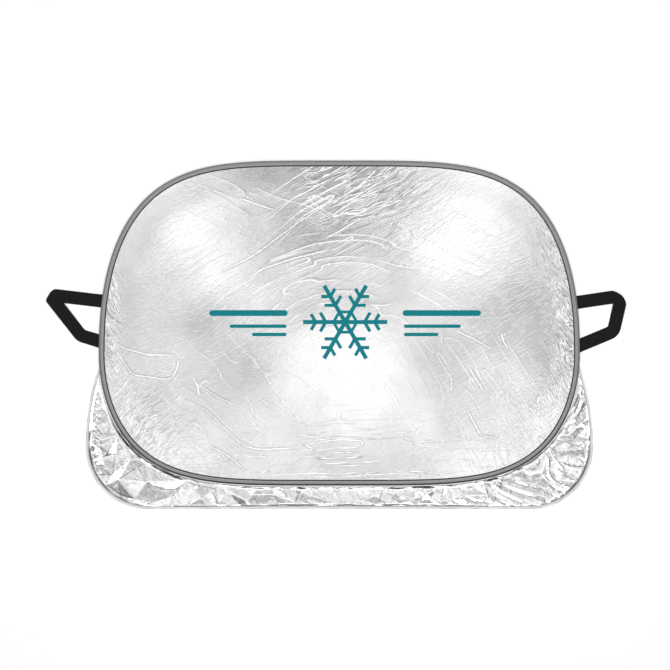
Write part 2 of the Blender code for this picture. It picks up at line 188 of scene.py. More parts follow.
class CoverColours(bpy.types.PropertyGroup):
    """Colours of the cover's materials."""

    foil: bpy.props.FloatVectorProperty(
        name="Foil", description="Tone of the silver foil",
        default=(0.83, 0.83, 0.835), size=3, min=0.0, max=1.0, subtype="COLOR",
    )
    printed: bpy.props.FloatVectorProperty(
        name="Print", description="Colour of the snowflake and bars printed on the foil",
        default=(0.0, 0.192, 0.226), size=3, min=0.0, max=1.0, subtype="COLOR",
    )
    binding: bpy.props.FloatVectorProperty(
        name="Binding", description="Colour of the binding tape's face",
        default=(0.310, 0.310, 0.324), size=3, min=0.0, max=1.0, subtype="COLOR",
    )
    thread: bpy.props.FloatVectorProperty(
        name="Thread", description="Colour of the binding's stitches",
        default=(0.105, 0.105, 0.114), size=3, min=0.0, max=1.0, subtype="COLOR",
    )
    hem: bpy.props.FloatVectorProperty(
        name="Hem tape", description="Colour of the silver tape on the skirt's edge",
        default=(0.76, 0.76, 0.77), size=3, min=0.0, max=1.0, subtype="COLOR",
    )
    webbing: bpy.props.FloatVectorProperty(
        name="Webbing", description="Colour of the webbing loops",
        default=(0.0038, 0.0038, 0.0041), size=3, min=0.0, max=1.0, subtype="COLOR",
    )


class CoverStudio(bpy.types.PropertyGroup):
    """Light, floor and camera of the studio."""

    overhead: bpy.props.FloatProperty(
        name="Overhead brightness", description="Brightness of the wide panels straight over the cover",
        default=0.53, min=0.0, max=5.0,
    )
    ring: bpy.props.FloatProperty(
        name="Ring brightness",
        description="Brightness of the panels round the overhead ones, which the creases mirror",
        default=1.45, min=0.0, max=5.0,
    )
    spots: bpy.props.FloatProperty(
        name="Soft spot brightness",
        description="Brightness of the three small panels that the foil mirrors as white patches",
        default=0.74, min=0.0, max=10.0,
    )
    glows: bpy.props.FloatProperty(
        name="Soft glow brightness",
        description="Brightness of the wider panels round the white patches, which soften their edges",
        default=0.32, min=0.0, max=10.0,
    )
    sides: bpy.props.FloatProperty(
        name="Side brightness", description="Brightness of the long panels at the sides",
        default=3.3, min=0.0, max=20.0,
    )
    surround: bpy.props.FloatProperty(
        name="Surround brightness", description="Brightness of the grey studio round the panels",
        default=0.275, min=0.0, max=2.0,
    )
    camera_height: bpy.props.FloatProperty(
        name="Camera height", description="Height of the camera over the floor",
        default=5.2, min=2.0, max=10.0, unit="LENGTH",
    )


# Plan lines of the panel and the skirt


def smoothstep(values):
    """0 below 0, 1 above 1, with a smooth rise between."""
    clipped = np.clip(values, 0.0, 1.0)
    return clipped * clipped * (3 - 2 * clipped)


def walked(line):
    """Distance walked along a line to each of its points."""
    return np.concatenate([[0.0], np.cumsum(np.linalg.norm(np.diff(line, axis=0), axis=1))])


def resample(points, count, closed=False):
    """count points at equal distances along a line; a closed line's first point isn't repeated."""
    line = np.vstack([points, points[:1]]) if closed else np.asarray(points)
    along = walked(line)
    at = np.linspace(0.0, along[-1], count + 1 if closed else count)
    at = at[:-1] if closed else at
    return np.column_stack([np.interp(at, along, line[:, k]) for k in range(line.shape[1])])


def inward_normals(line, closed=False):
    """Unit plan normals of a line that runs anticlockwise: its direction, turned a quarter left."""
    padded = np.vstack([line[-1:], line, line[:1]]) if closed else line
    along = np.gradient(padded, axis=0)
    along = along[1:-1] if closed else along
    along /= np.linalg.norm(along, axis=1)[:, None]
    return np.column_stack([-along[:, 1], along[:, 0]])


def half_outline(angles, height, end_power, side_power):
    """Points with |x / half width|^end_power + |y / height|^side_power = 1, at these angles."""
    across = np.sign(np.cos(angles)) * np.abs(np.cos(angles)) ** (2 / end_power)
    up = np.sign(np.sin(angles)) * np.abs(np.sin(angles)) ** (2 / side_power)
    return np.column_stack([HALF_WIDTH * across, LOWER_HEIGHT + height * up])


def panel_outline(inset=0.0, count=DENSE_POINTS):
    """The panel's outline, anticlockwise from the middle of the top edge, moved inwards by inset."""
    angles = np.linspace(0.0, 2 * math.pi, DENSE_POINTS, endpoint=False) + math.pi / 2
    upper = half_outline(angles, UPPER_HEIGHT, UPPER_END_POWER, UPPER_SIDE_POWER)
    lower = half_outline(angles, LOWER_HEIGHT, LOWER_END_POWER, LOWER_SIDE_POWER)
    outline = np.where((np.sin(angles) > 0)[:, None], upper, lower)
    even = resample(outline, DENSE_POINTS, closed=True)
    moved = even + inset * inward_normals(even, closed=True)
    return resample(moved, count, closed=True)


def half_width_at(level):
    """Half the panel's width at a height above its lower edge."""
    rise = level - LOWER_HEIGHT
    if rise > 0:
        share = 1 - (rise / UPPER_HEIGHT) ** UPPER_SIDE_POWER
        return HALF_WIDTH * share ** (1 / UPPER_END_POWER)
    share = 1 - (-rise / LOWER_HEIGHT) ** LOWER_SIDE_POWER
    return HALF_WIDTH * share ** (1 / LOWER_END_POWER)


def arc(centre, radius, start, end, steps=120):
    """Points of an arc in plan, from one angle to another."""
    angles = np.linspace(start, end, steps)
    return np.column_stack([centre[0] + radius * np.cos(angles), centre[1] + radius * np.sin(angles)])


def skirt_edge():
    """The skirt's free edge, from its left end under the rim, round the bottom, to its right end."""
    widest = HALF_WIDTH + SKIRT_SPREAD
    widest_level = SKIRT_CORNER_RADIUS - SKIRT_DROP
    bulge = widest - half_width_at(SKIRT_TOP_LEVEL) + SKIRT_END_COVER
    rise = SKIRT_TOP_LEVEL - widest_level
    side_radius = (bulge**2 + rise**2) / (2 * bulge)
    swing = math.asin(rise / side_radius)
    side = arc((side_radius - widest, widest_level), side_radius, math.pi - swing, math.pi)
    corner_centre = (SKIRT_CORNER_RADIUS - widest, widest_level)
    corner = arc(corner_centre, SKIRT_CORNER_RADIUS, math.pi, 3 * math.pi / 2)
    half = np.vstack([side, corner[1:], [(0.0, -SKIRT_DROP)]])
    return np.vstack([half, half[-2::-1] * (-1, 1)])


def skirt_seam():
    """The skirt's sewn edge, hidden under the binding from the left end round to the right end."""
    line = panel_outline(SKIRT_UNDERLAP)
    return line[line[:, 1] < SKIRT_TOP_LEVEL]


def spread_over(outline, columns, rows):
    """Plan points of a grid, spread from the panel's middle so that its rings are shrunken outlines."""
    across, up = np.meshgrid(np.linspace(-1, 1, columns + 1), np.linspace(-1, 1, rows + 1), indexing="ij")
    out = np.maximum(np.abs(across), np.abs(up))
    side_x, side_y = across / np.maximum(out, 1e-9), up / np.maximum(out, 1e-9)
    top = (1 - side_x) * HALF_WIDTH
    left = 2 * HALF_WIDTH + (1 - side_y) * PANEL_HEIGHT / 2
    bottom = 2 * HALF_WIDTH + PANEL_HEIGHT + (1 + side_x) * HALF_WIDTH
    right = 4 * HALF_WIDTH + PANEL_HEIGHT + (1 + side_y) * PANEL_HEIGHT / 2
    on_side = [side_y > 1 - 1e-6, side_x < -1 + 1e-6, side_y < -1 + 1e-6]
    passed = np.select(on_side, [top, left, bottom], right) - HALF_WIDTH
    share = passed / (4 * HALF_WIDTH + 2 * PANEL_HEIGHT) % 1.0
    ring = np.vstack([outline, outline[:1]])
    spots = np.linspace(0.0, 1.0, len(ring))
    middle = PANEL_HEIGHT / 2
    x = out * np.interp(share, spots, ring[:, 0])
    y = middle + out * (np.interp(share, spots, ring[:, 1]) - middle)
    return x, y


# Relief of crumpled foil


def lattice(x, y, seed):
    """Random heights at the four corners of the unit square that holds each point, and its place there."""
    table = np.random.default_rng(seed).uniform(-1.0, 1.0, (TABLE_SIZE, TABLE_SIZE))
    column, row = np.floor(x).astype(int), np.floor(y).astype(int)
    right, above = (column + 1) % TABLE_SIZE, (row + 1) % TABLE_SIZE
    left, below = column % TABLE_SIZE, row % TABLE_SIZE
    corners = table[left, below], table[right, below], table[left, above], table[right, above]
    return corners, x - np.floor(x), y - np.floor(y)


def hills(x, y, seed):
    """Smooth random hills from -1 to 1, one to a unit square: corner heights blended by smoothstep."""
    (a, b, c, d), u, v = lattice(x, y, seed)
    u, v = smoothstep(u), smoothstep(v)
    return (a * (1 - u) + b * u) * (1 - v) + (c * (1 - u) + d * u) * v


def hills_along(along, length, seed):
    """Smooth random hills from -1 to 1 along a line, one to a length."""
    return hills(along / length, 0.5 + 0 * along, seed)


def facets(x, y, seed):
    """Random heights joined by flat triangles, two to a unit square, as in crumpled foil."""
    (a, b, c, d), u, v = lattice(x, y, seed)
    return np.where(u > v, a + u * (b - a) + v * (d - b), a + v * (c - a) + u * (d - c))


def depth(places, line, normals):
    """Signed distance of plan points from a line, above zero on the side that its normals point to."""
    apart = places[:, None, :] - line[None, :, :]
    away = np.hypot(apart[:, :, 0], apart[:, :, 1])
    nearest = away.argmin(axis=1)
    each = np.arange(len(places))
    side = np.sum(apart[each, nearest] * normals[nearest], axis=1)
    return away[each, nearest] * np.sign(side)


def let_down(corners):
    """Facet corners (x, y, height), lowered to nothing at the panel's rim and at the skirt's hem."""
    corners = np.array(corners)
    rim, hem = panel_outline(0.0, 500), resample(skirt_edge(), 700)
    from_rim = -depth(corners[:, :2], rim, inward_normals(rim, True))
    from_hem = depth(corners[:, :2], hem, inward_normals(hem)) - EDGE_TAPE_WIDTH
    corners[:, 2] *= np.clip(from_rim / FACET_RIM_RAMP, 0, 1) * np.clip(from_hem / FACET_HEM_RAMP, 0, 1)
    return corners.tolist()


def triangles(x, y, corners):
    """Heights of flat triangles, which join corners given as (x, y, height) with no overlap."""
    made = delaunay_2d_cdt([Vector(corner[:2]) for corner in corners], [], [], 0, 1e-6)
    plan, faces, sources = made[0], made[2], made[3]
    height = np.zeros(x.shape)
    for face in faces:
        (ax, ay), (bx, by), (cx, cy) = (plan[k] for k in face)
        a, b, c = (corners[sources[k][0]][2] for k in face)
        in_columns = (x >= min(ax, bx, cx)) & (x <= max(ax, bx, cx))
        in_rows = (y >= min(ay, by, cy)) & (y <= max(ay, by, cy))
        spots = np.nonzero(in_columns & in_rows)
        east, north = x[spots] - ax, y[spots] - ay
        area = (bx - ax) * (cy - ay) - (cx - ax) * (by - ay)
        to_b = (east * (cy - ay) - (cx - ax) * north) / area
        to_c = ((bx - ax) * north - east * (by - ay)) / area
        inside = (to_b >= 0) & (to_c >= 0) & (to_b + to_c <= 1)
        height[spots] = np.where(inside, a + to_b * (b - a) + to_c * (c - a), height[spots])
    return height


def scattered_corners(low, high, pitch, slant, seed):
    """Corners (x, y, height) on a slanted grid over a box, shifted at random, with random heights."""
    chance = np.random.default_rng(seed)
    x, y = np.meshgrid(np.arange(low[0], high[0], pitch[0]), np.arange(low[1], high[1], pitch[1]))
    x = x + slant * y + pitch[0] * chance.uniform(-0.45, 0.45, x.shape)
    y = y + pitch[1] * chance.uniform(-0.45, 0.45, y.shape)
    height = chance.uniform(0.0, 1.0, x.shape)
    return np.column_stack([x.ravel(), y.ravel(), height.ravel()]).tolist()


def straight_flow(angle):
    """Coordinates along and across a straight direction."""
    def flow(x, y):
        return x * math.cos(angle) + y * math.sin(angle), y * math.cos(angle) - x * math.sin(angle)
    return flow


def round_flow(centre, stretch):
    """Coordinates round and out from a centre, where circles are stretched sideways into ellipses."""
    def flow(x, y):
        east, north = (x - centre[0]) / stretch, y - centre[1]
        out = np.hypot(east, north)
        return np.arctan2(north, east) * 0.4, out
    return flow


def radial_flow(centre):
    """Coordinates out from a centre and round it, so that creases along the flow fan out."""
    def flow(x, y):
        out = np.hypot(x - centre[0], y - centre[1])
        return out, np.arctan2(y - centre[1], x - centre[0]) * 0.3
    return flow


def flowing(x, y, flow, spacing, length, seed, region, sway=0.6):
    """Signed distance from the nearest crease of a set that follows a flow, and how much of it is kept.

    The creases lie where hills drawn out along the flow pass through zero, and the hills' height over their
    own slope is the distance. A little is added to the slope, so that it is never zero. More hills make the
    creases sway, and others break them up.
    """
    def field(px, py):
        along, across = flow(px, py)
        bent = across / spacing + sway * hills(2 * along / length, across / length, seed + 1)
        return hills(along / length, bent, seed)

    step = 0.0005
    here = field(x, y)
    slope = np.hypot(field(x + step, y) - here, field(x, y + step) - here) / step
    away = here / (slope + 0.12 / spacing)
    along, across = flow(x, y)
    kept = smoothstep(0.7 + 1.6 * hills(1.7 * along / length, across / spacing, seed + 2))
    return away, kept * region


def crinkles(x, y, flow, spacing, length, seed):
    """Small flat facets drawn out along a flow, with bent edges, from -1 to 1."""
    along, across = flow(x, y)
    u = along / length + 0.5 * hills(along / length, across / spacing, seed + 1)
    v = across / spacing + 0.5 * hills(along / length + 9.0, across / spacing, seed + 2)
    return facets(u, v, seed)


def patch(x, y, centre, reach):
    """A soft-edged oval region: 1 at its centre, falling to nearly 0 at twice its reach."""
    return np.exp(-(((x - centre[0]) / reach[0]) ** 2) - ((y - centre[1]) / reach[1]) ** 2)


def long_creases(x, y):
    """Signed distance from the nearest of the panel's single long creases, and how much of it is kept.

    Each is a line through a few plan points, evened out by averaging. It fades towards its ends.
    """
    near = np.full(x.shape, 1.0)
    signed = np.full(x.shape, 1.0)
    kept = np.zeros(x.shape)
    for points in LONG_CREASES:
        line = resample(np.array(points), 40)
        smooth = [np.convolve(np.pad(line[:, k], 2, "edge"), np.ones(5) / 5, "valid") for k in (0, 1)]
        dense = resample(np.column_stack(smooth), 90)
        ahead = np.gradient(dense, axis=0)
        for place, (px, py), (dx, dy) in zip(np.linspace(0.0, 1.0, len(dense)), dense, ahead):
            away = np.hypot(x - px, y - py)
            closer = away < near
            side = np.sign(dx * (y - py) - dy * (x - px))
            near = np.where(closer, away, near)
            signed = np.where(closer, away * side, signed)
            kept = np.where(closer, float(smoothstep(5 * min(place, 1 - place))), kept)
    return signed, kept * (near < LONG_CREASE_REACH)


def ripple(x, y):
    """Height of the stretched sheet's soft ripples, which bow round the lower middle of the panel."""
    rise = y - LOWER_HEIGHT / 2
    bow = np.hypot(x * UPPER_HEIGHT / HALF_WIDTH, rise)
    wave = np.sin(2 * math.pi * bow / RIPPLE_LENGTH + np.sin(3 * np.arctan2(rise, x)))
    along = x * math.cos(CROSS_RIPPLE_SLOPE) + y * math.sin(CROSS_RIPPLE_SLOPE)
    cross = np.sin(2 * math.pi * along / CROSS_RIPPLE_LENGTH)
    return RIPPLE_HEIGHT * (2 + wave + cross) / 4


def distance_to_rim(x, y, inset):
    """Distance of each plan point from the panel's outline moved inwards by inset."""
    lip = panel_outline(inset, 400)
    flat_x, flat_y = x.ravel(), y.ravel()
    near = np.full(flat_x.shape, 1.0)
    for px, py in lip:
        near = np.minimum(near, np.hypot(flat_x - px, flat_y - py))
    return near.reshape(x.shape)


LONG_CREASES = [
    [(-0.449, 0.248), (-0.390, 0.223), (-0.337, 0.170), (-0.274, 0.112), (-0.225, 0.104), (-0.079, 0.112)],
    [(-0.658, 0.408), (-0.600, 0.321), (-0.488, 0.306), (-0.468, 0.340), (-0.462, 0.390)],
    [(-0.663, 0.423), (-0.629, 0.399), (-0.556, 0.379), (-0.473, 0.377)],
    [(-0.410, 0.296), (-0.356, 0.258), (-0.303, 0.234)],
    [(-0.424, 0.316), (-0.410, 0.285), (-0.405, 0.258)],
    [(-0.385, 0.121), (-0.320, 0.085), (-0.268, 0.039)],
    [(-0.378, 0.602), (-0.250, 0.665), (-0.120, 0.762), (0.035, 0.860)],
    [(-0.262, 0.597), (-0.230, 0.625), (-0.144, 0.655), (-0.008, 0.689)],
    [(-0.296, 0.836), (-0.242, 0.816), (-0.179, 0.796)],
    [(0.333, 0.451), (0.390, 0.425), (0.445, 0.393)],
    [(0.469, 0.442), (0.475, 0.420), (0.489, 0.397)],
    [(0.375, 0.345), (0.395, 0.310), (0.420, 0.270)],
    [(0.362, 0.237), (0.385, 0.190), (0.410, 0.144), (0.479, 0.135)],
    [(0.173, 0.149), (0.190, 0.138), (0.211, 0.130)],
]


# Corners of the flat facets at the skirt's left corner, as (x, y, height)
LEFT_FACETS = [
    (-0.7270, 0.0740, 0.10), (-0.6084, 0.0725, 0.75), (-0.6899, 0.0792, 0.95), (-0.6583, 0.0319, 0.15),
    (-0.6426, 0.1479, 0.90), (-0.7137, 0.1241, 0.60), (-0.6716, 0.0951, 0.05), (-0.6479, 0.0899, 0.55),
    (-0.6847, 0.1952, 0.25), (-0.7215, 0.1688, 0.80), (-0.6664, 0.2059, 0.85), (-0.6980, 0.2743, 0.40),
    (-0.7059, 0.1929, 0.05), (-0.7250, 0.2400, 0.75), (-0.6400, 0.0189, 0.80), (-0.6743, 0.0029, 0.35),
    (-0.6345, -0.0261, 0.10), (-0.5846, 0.0528, 0.20), (-0.5925, -0.0368, 0.70), (-0.5583, 0.0107, 0.90),
    (-0.5423, -0.0473, 0.15), (-0.5107, -0.0102, 0.35), (-0.4739, 0.0133, 0.95), (-0.4791, -0.0102, 0.20),
    (-0.4843, -0.0316, 0.05), (-0.4422, 0.0107, 0.30), (-0.4000, -0.0368, 0.85), (-0.7000, -0.0300, 0.60),
    (-0.7400, 0.0300, 0.70), (-0.5300, 0.0900, 0.50), (-0.6000, 0.1800, 0.40), (-0.6300, 0.2600, 0.70),
    (-0.7500, 0.1100, 0.20), (-0.7600, 0.2000, 0.50), (-0.6700, 0.3300, 0.30), (-0.7500, 0.3400, 0.60),
    (-0.6400, -0.0900, 0.50), (-0.5000, -0.0900, 0.70), (-0.3300, -0.0900, 0.20), (-0.7800, -0.0600, 0.30),
    (-0.3300, 0.0200, 0.40), (-0.3600, -0.0100, 0.10), (-0.2900, -0.0400, 0.80), (-0.2900, 0.0500, 0.50),
]


def crease_sets(x, y):
    """Nine sets of creases, in threes: signed distances in metres and how much of each is kept."""
    rise = straight_flow(math.radians(33))
    fall = straight_flow(math.radians(-22))
    level = straight_flow(math.radians(2))
    steep = straight_flow(math.radians(-58))
    slant = straight_flow(math.radians(-42))
    north_east = straight_flow(math.radians(46))
    bow = round_flow((0.03, 0.33), 1.35)
    fan = radial_flow((0.30, 0.62))
    top = patch(x, y, (0.03, 0.83), (0.24, 0.15))
    dome = patch(x, y, (0.00, 0.63), (0.36, 0.15))
    upper_left = patch(x, y, (-0.20, 0.83), (0.22, 0.09))
    low_left = patch(x, y, (-0.56, 0.15), (0.13, 0.16))
    low_middle = patch(x, y, (0.02, 0.08), (0.40, 0.10))
    low_right = patch(x, y, (0.40, 0.24), (0.24, 0.22))
    corner_right = patch(x, y, (0.58, 0.16), (0.13, 0.14))
    mid_left = patch(x, y, (-0.33, 0.22), (0.20, 0.18))
    return [
        [
            flowing(x, y, rise, 0.013, 0.17, 11, 1.2 * top),
            flowing(x, y, bow, 0.016, 0.20, 31, dome),
            flowing(x, y, fall, 0.018, 0.16, 41, 0.7 * upper_left, 0.4),
        ],
        [
            flowing(x, y, slant, 0.015, 0.13, 131, 0.8 * mid_left, 0.7),
            flowing(x, y, level, 0.010, 0.15, 91, 1.2 * low_middle, 0.6),
            flowing(x, y, steep, 0.012, 0.13, 111, 0.6 * low_right, 0.6),
        ],
        [
            flowing(x, y, fan, 0.010, 0.10, 121, 1.2 * corner_right),
            flowing(x, y, north_east, 0.010, 0.08, 61, 1.2 * low_left),
            long_creases(x, y),
        ],
    ]


def crinkled(x, y):
    """Where the foil is finely crinkled: high in the middle, along the sides, and low from left to middle."""
    top = patch(x, y, (0.06, 0.85), (0.20, 0.12))
    sides = 0.8 * patch(x, y, (-0.69, 0.48), (0.05, 0.22)) + 0.9 * patch(x, y, (0.69, 0.44), (0.06, 0.20))
    sides += 0.7 * patch(x, y, (0.63, 0.71), (0.07, 0.15)) + 0.3 * patch(x, y, (0.58, 0.20), (0.13, 0.13))
    corner = 0.8 * patch(x, y, (-0.57, 0.14), (0.11, 0.15)) + 0.2 * patch(x, y, (-0.10, 0.06), (0.40, 0.07))
    return top, sides, corner


def foil_relief(x, y, to_rim, sets):
    """Height of the foil's creases and crinkles that the mesh itself carries, from about -1 to 1."""
    height = np.zeros(x.shape)
    for group in sets:
        for away, kept in group:
            height += 0.35 * np.clip(1 - np.abs(away) / CREASE_REACH, 0.0, 1.0) * kept
    top, sides, corner = crinkled(x, y)
    steep = straight_flow(math.radians(-58))
    height += 0.4 * top * crinkles(x, y, straight_flow(math.radians(33)), 0.014, 0.060, 21)
    height += 0.3 * sides * crinkles(x, y, steep, 0.011, 0.034, 71)
    height += 0.4 * corner * crinkles(x, y, straight_flow(math.radians(46)), 0.014, 0.048, 51)
    height += 0.12 * crinkles(x, y, straight_flow(0.7), 0.040, 0.070, 141)
    return height * smoothstep(to_rim / LIP_RAMP)


# Meshes


def grid_faces(rows, columns, start=0):
    """Corner numbers of a grid's faces, where vertex (i, j) has number start + i * columns + j."""
    i, j = np.meshgrid(np.arange(rows - 1), np.arange(columns - 1), indexing="ij")
    first = (start + i * columns + j).ravel()
    return np.column_stack([first, first + columns, first + columns + 1, first + 1])


def border(rows, columns, start):
    """Numbers of a grid's border vertices, once round from vertex (0, 0)."""
    number = start + np.arange(rows * columns).reshape(rows, columns)
    return np.concatenate([number[:-1, 0], number[-1, :-1], number[:0:-1, -1], number[0, :0:-1]])


def shell(fine, coarse, ratio=1, fine_below=False):
    """Vertices and faces of a closed shell between a fine grid and one that is ratio times coarser.

    The coarse grid lies under the fine one, or over it with fine_below. Each face of the wall between them
    joins one border edge of the coarse grid to the ratio edges of the fine one beside it.
    """
    split = fine.shape[0] * fine.shape[1]
    vertices = np.vstack([fine.reshape(-1, 3), coarse.reshape(-1, 3)])
    top = grid_faces(fine.shape[0], fine.shape[1])
    bottom = grid_faces(coarse.shape[0], coarse.shape[1], split)[:, ::-1]
    inner = border(coarse.shape[0], coarse.shape[1], split)
    outer = border(fine.shape[0], fine.shape[1], 0)
    steps = (np.arange(len(inner))[:, None] * ratio + np.arange(ratio, -1, -1)) % len(outer)
    walls = np.column_stack([inner, np.roll(inner, -1), outer[steps]])
    groups = [top, bottom, walls]
    if fine_below:
        groups = [group[:, ::-1] for group in groups]
    return vertices, [face for group in groups for face in group.tolist()]


def ring_faces(around, section):
    """Faces of a closed section swept round a closed path, and each corner's step along and round."""
    i, j = np.meshgrid(np.arange(around), np.arange(section), indexing="ij")
    i, j = i.ravel(), j.ravel()
    along = np.column_stack([i, i, i + 1, i + 1])
    across = np.column_stack([j, j + 1, j + 1, j])
    faces = (along % around) * section + across % section
    return faces, along, across


def add_piece(name, vertices, faces, material, nodes, sharp=60):
    """Puts a mesh in the scene as a piece of the cover that stands for these nodes."""
    missing = [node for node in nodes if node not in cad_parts]
    if missing:
        raise RuntimeError(f"{name} stands for nodes that the frame hasn't: {missing}")
    mesh = bpy.data.meshes.new(name)
    mesh.from_pydata(np.asarray(vertices).tolist(), [], faces)
    if mesh.validate():
        raise RuntimeError(f"{name} has faces that Blender had to mend")
    mesh.materials.append(material)
    mesh.shade_smooth()
    mesh.set_sharp_from_angle(angle=math.radians(sharp))
    piece = bpy.data.objects.new(name, mesh)
    bpy.context.scene.collection.objects.link(piece)
    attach(piece, "root")
    if nodes:
        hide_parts(*nodes)
    return piece


def corner_vertices(mesh):
    """The vertex number of each face corner of a mesh."""
    numbers = np.empty(len(mesh.loops), dtype=np.int32)
    mesh.loops.foreach_get("vertex_index", numbers)
    return numbers


def lay_out(mesh, places, per_corner=False):
    """Gives a mesh its UV map, in metres: one place for each vertex, or for each face corner."""
    layer = mesh.uv_layers.new(name="Fabric")
    places = np.asarray(places, dtype=np.float32)
    values = places if per_corner else places[corner_vertices(mesh)]
    layer.data.foreach_set("uv", values.ravel())


def mark_vertices(mesh, name, values):
    """Stores one number for each vertex, for the material to read."""
    attribute = mesh.attributes.new(name, "FLOAT", "POINT")
    attribute.data.foreach_set("value", np.asarray(values, dtype=np.float32))


def mark_with_vectors(mesh, name, values):
    """Stores three numbers for each vertex, for the material to read."""
    attribute = mesh.attributes.new(name, "FLOAT_VECTOR", "POINT")
    attribute.data.foreach_set("vector", np.asarray(values, dtype=np.float32).ravel())


# Shader maths


class Value:
    """A number that varies over a surface: arithmetic on it adds Math nodes to its material."""

    def __init__(self, finish, socket):
        self.finish = finish
        self.socket = socket

    def __add__(self, other):
        return self.finish.math("ADD", self, other)

    __radd__ = __add__

    def __sub__(self, other):
        return self.finish.math("SUBTRACT", self, other)

    def __rsub__(self, other):
        return self.finish.math("SUBTRACT", other, self)

    def __mul__(self, other):
        return self.finish.math("MULTIPLY", self, other)

    __rmul__ = __mul__

    def __truediv__(self, other):
        return self.finish.math("DIVIDE", self, other)

    def __abs__(self):
        return self.finish.math("ABSOLUTE", self)

    def least(self, other):
        return self.finish.math("MINIMUM", self, other)

    def most(self, other):
        return self.finish.math("MAXIMUM", self, other)


class Finish:
    """A node-based material, built up from calls."""

    def __init__(self, name, roughness, metallic=0.0, **constants):
        self.material = bpy.data.materials.new(name)
        self.material.use_nodes = True
        self.tree = self.material.node_tree
        self.shader = self.tree.nodes["Principled BSDF"]
        self.placed = 0
        self.set("Roughness", roughness)
        self.set("Metallic", metallic)
        for label, value in constants.items():
            self.set(label.replace("_", " ").title().replace("Ior", "IOR"), value)

    def feed(self, socket, value):
        """Links a value or socket to a node's socket, or sets a plain number or colour there."""
        if isinstance(value, Value):
            value = value.socket
        if isinstance(value, bpy.types.NodeSocket):
            self.tree.links.new(value, socket)
        else:
            socket.default_value = value

    def set(self, label, value):
        """Feeds a socket of the Principled shader."""
        self.feed(self.shader.inputs[label], value)

    def node(self, kind, settings=None, inputs=None, output=0):
        """Adds any node: its settings and colour stops are set first, then the sockets, by name or number."""
        made = self.tree.nodes.new(kind)
        made.location = (-1800 + 170 * (self.placed % 9), 400 - 200 * (self.placed // 9))
        self.placed += 1
        for label, value in (settings or {}).items():
            if label == "stops":
                ramp = made.color_ramp.elements
                ramp[0].position, ramp[0].color = value[0]
                ramp[1].position, ramp[1].color = value[-1]
                for position, colour in value[1:-1]:
                    ramp.new(position).color = colour
            else:
                setattr(made, label, value)
        for label, value in (inputs or {}).items():
            self.feed(made.inputs[label], value)
        return Value(self, made.outputs[output])

    def math(self, operation, *values):
        """A Math node on one to three values."""
        return self.node("ShaderNodeMath", {"operation": operation}, dict(enumerate(values)))

    def held(self, value):
        """A value kept between 0 and 1."""
        return self.node("ShaderNodeClamp", None, {"Value": value})

    def attribute(self, name, output="Vector"):
        """What the mesh stores under a name: a vector, or one number with Fac as the output."""
        return self.node("ShaderNodeAttribute", {"attribute_name": name}, None, output)

    def place(self):
        """The vector of Object coordinates, in metres."""
        return self.node("ShaderNodeTexCoord", None, None, "Object")

    def fabric(self):
        """The vector of the piece's own UV map, in metres along and across it."""
        return self.node("ShaderNodeUVMap", {"uv_map": "Fabric"})

    def parts(self, vector):
        """The three numbers of a vector."""
        made = self.node("ShaderNodeSeparateXYZ", None, {"Vector": vector})
        return [Value(self, socket) for socket in made.socket.node.outputs]

    def stretched(self, vector, scale, turn=0.0):
        """A vector turned about +Z, then scaled."""
        settings = {"vector_type": "POINT"}
        inputs = {"Vector": vector, "Scale": scale, "Rotation": (0.0, 0.0, turn)}
        return self.node("ShaderNodeMapping", settings, inputs)

    def noise(self, vector, scale, detail=2.0, roughness=0.5):
        """Fractal noise, about 0.5 on average, with scale grains to a metre."""
        inputs = {"Vector": vector, "Scale": scale, "Detail": detail, "Roughness": roughness}
        return self.node("ShaderNodeTexNoise", {"noise_dimensions": "3D"}, inputs, "Fac")

    def drawn(self, vector, scale, detail=3.0, roughness=0.6, turn=0.0):
        """Noise drawn out into streaks, with its grains to a metre given for each direction."""
        return self.noise(self.stretched(vector, scale, turn), 1.0, detail, roughness)

    def waves(self, along, pitch):
        """Even waves from 0 to 1, one to each pitch."""
        return self.math("SINE", along * (2 * math.pi / pitch)) * 0.5 + 0.5

    def blend(self, share, first, second):
        """A colour that goes from first to second as share goes from 0 to 1."""
        settings = {"data_type": "RGBA", "blend_type": "MIX"}
        return self.node("ShaderNodeMix", settings, {0: share, 6: first, 7: second}, 2)

    def bump(self, height, distance, below=None):
        """A normal bumped by a height from 0 to 1 times distance, over the bump below it."""
        inputs = {"Height": height, "Distance": distance, "Strength": 1.0}
        if below is not None:
            inputs["Normal"] = below
        return self.node("ShaderNodeBump", None, inputs)


def opaque(colour):
    """A colour with full alpha."""
    return (*colour, 1.0)


def shade(colour, factor):
    """A colour made darker or paler by a factor, with full alpha."""
    return opaque(min(1.0, factor * part) for part in colour)


# Print on the foil: twigs are (root, length), and bars are (level, start, end, half height)
PRINT_CENTRE = (0.017, 0.474)
PRINT_SOFTNESS = 0.0008
PRINT_BARS = ((0.026, 0.175, 0.385, 0.0085), (-0.012, 0.175, 0.330, 0.0050), (-0.036, 0.175, 0.265, 0.0050))
FLAKE_RADIUS = 0.122
FLAKE_LINE = 0.0060
FLAKE_TWIGS = ((0.46 * FLAKE_RADIUS, 0.26 * FLAKE_RADIUS), (0.70 * FLAKE_RADIUS, 0.22 * FLAKE_RADIUS))
TWIG_COSINE = 0.5
TWIG_SINE = 0.8660


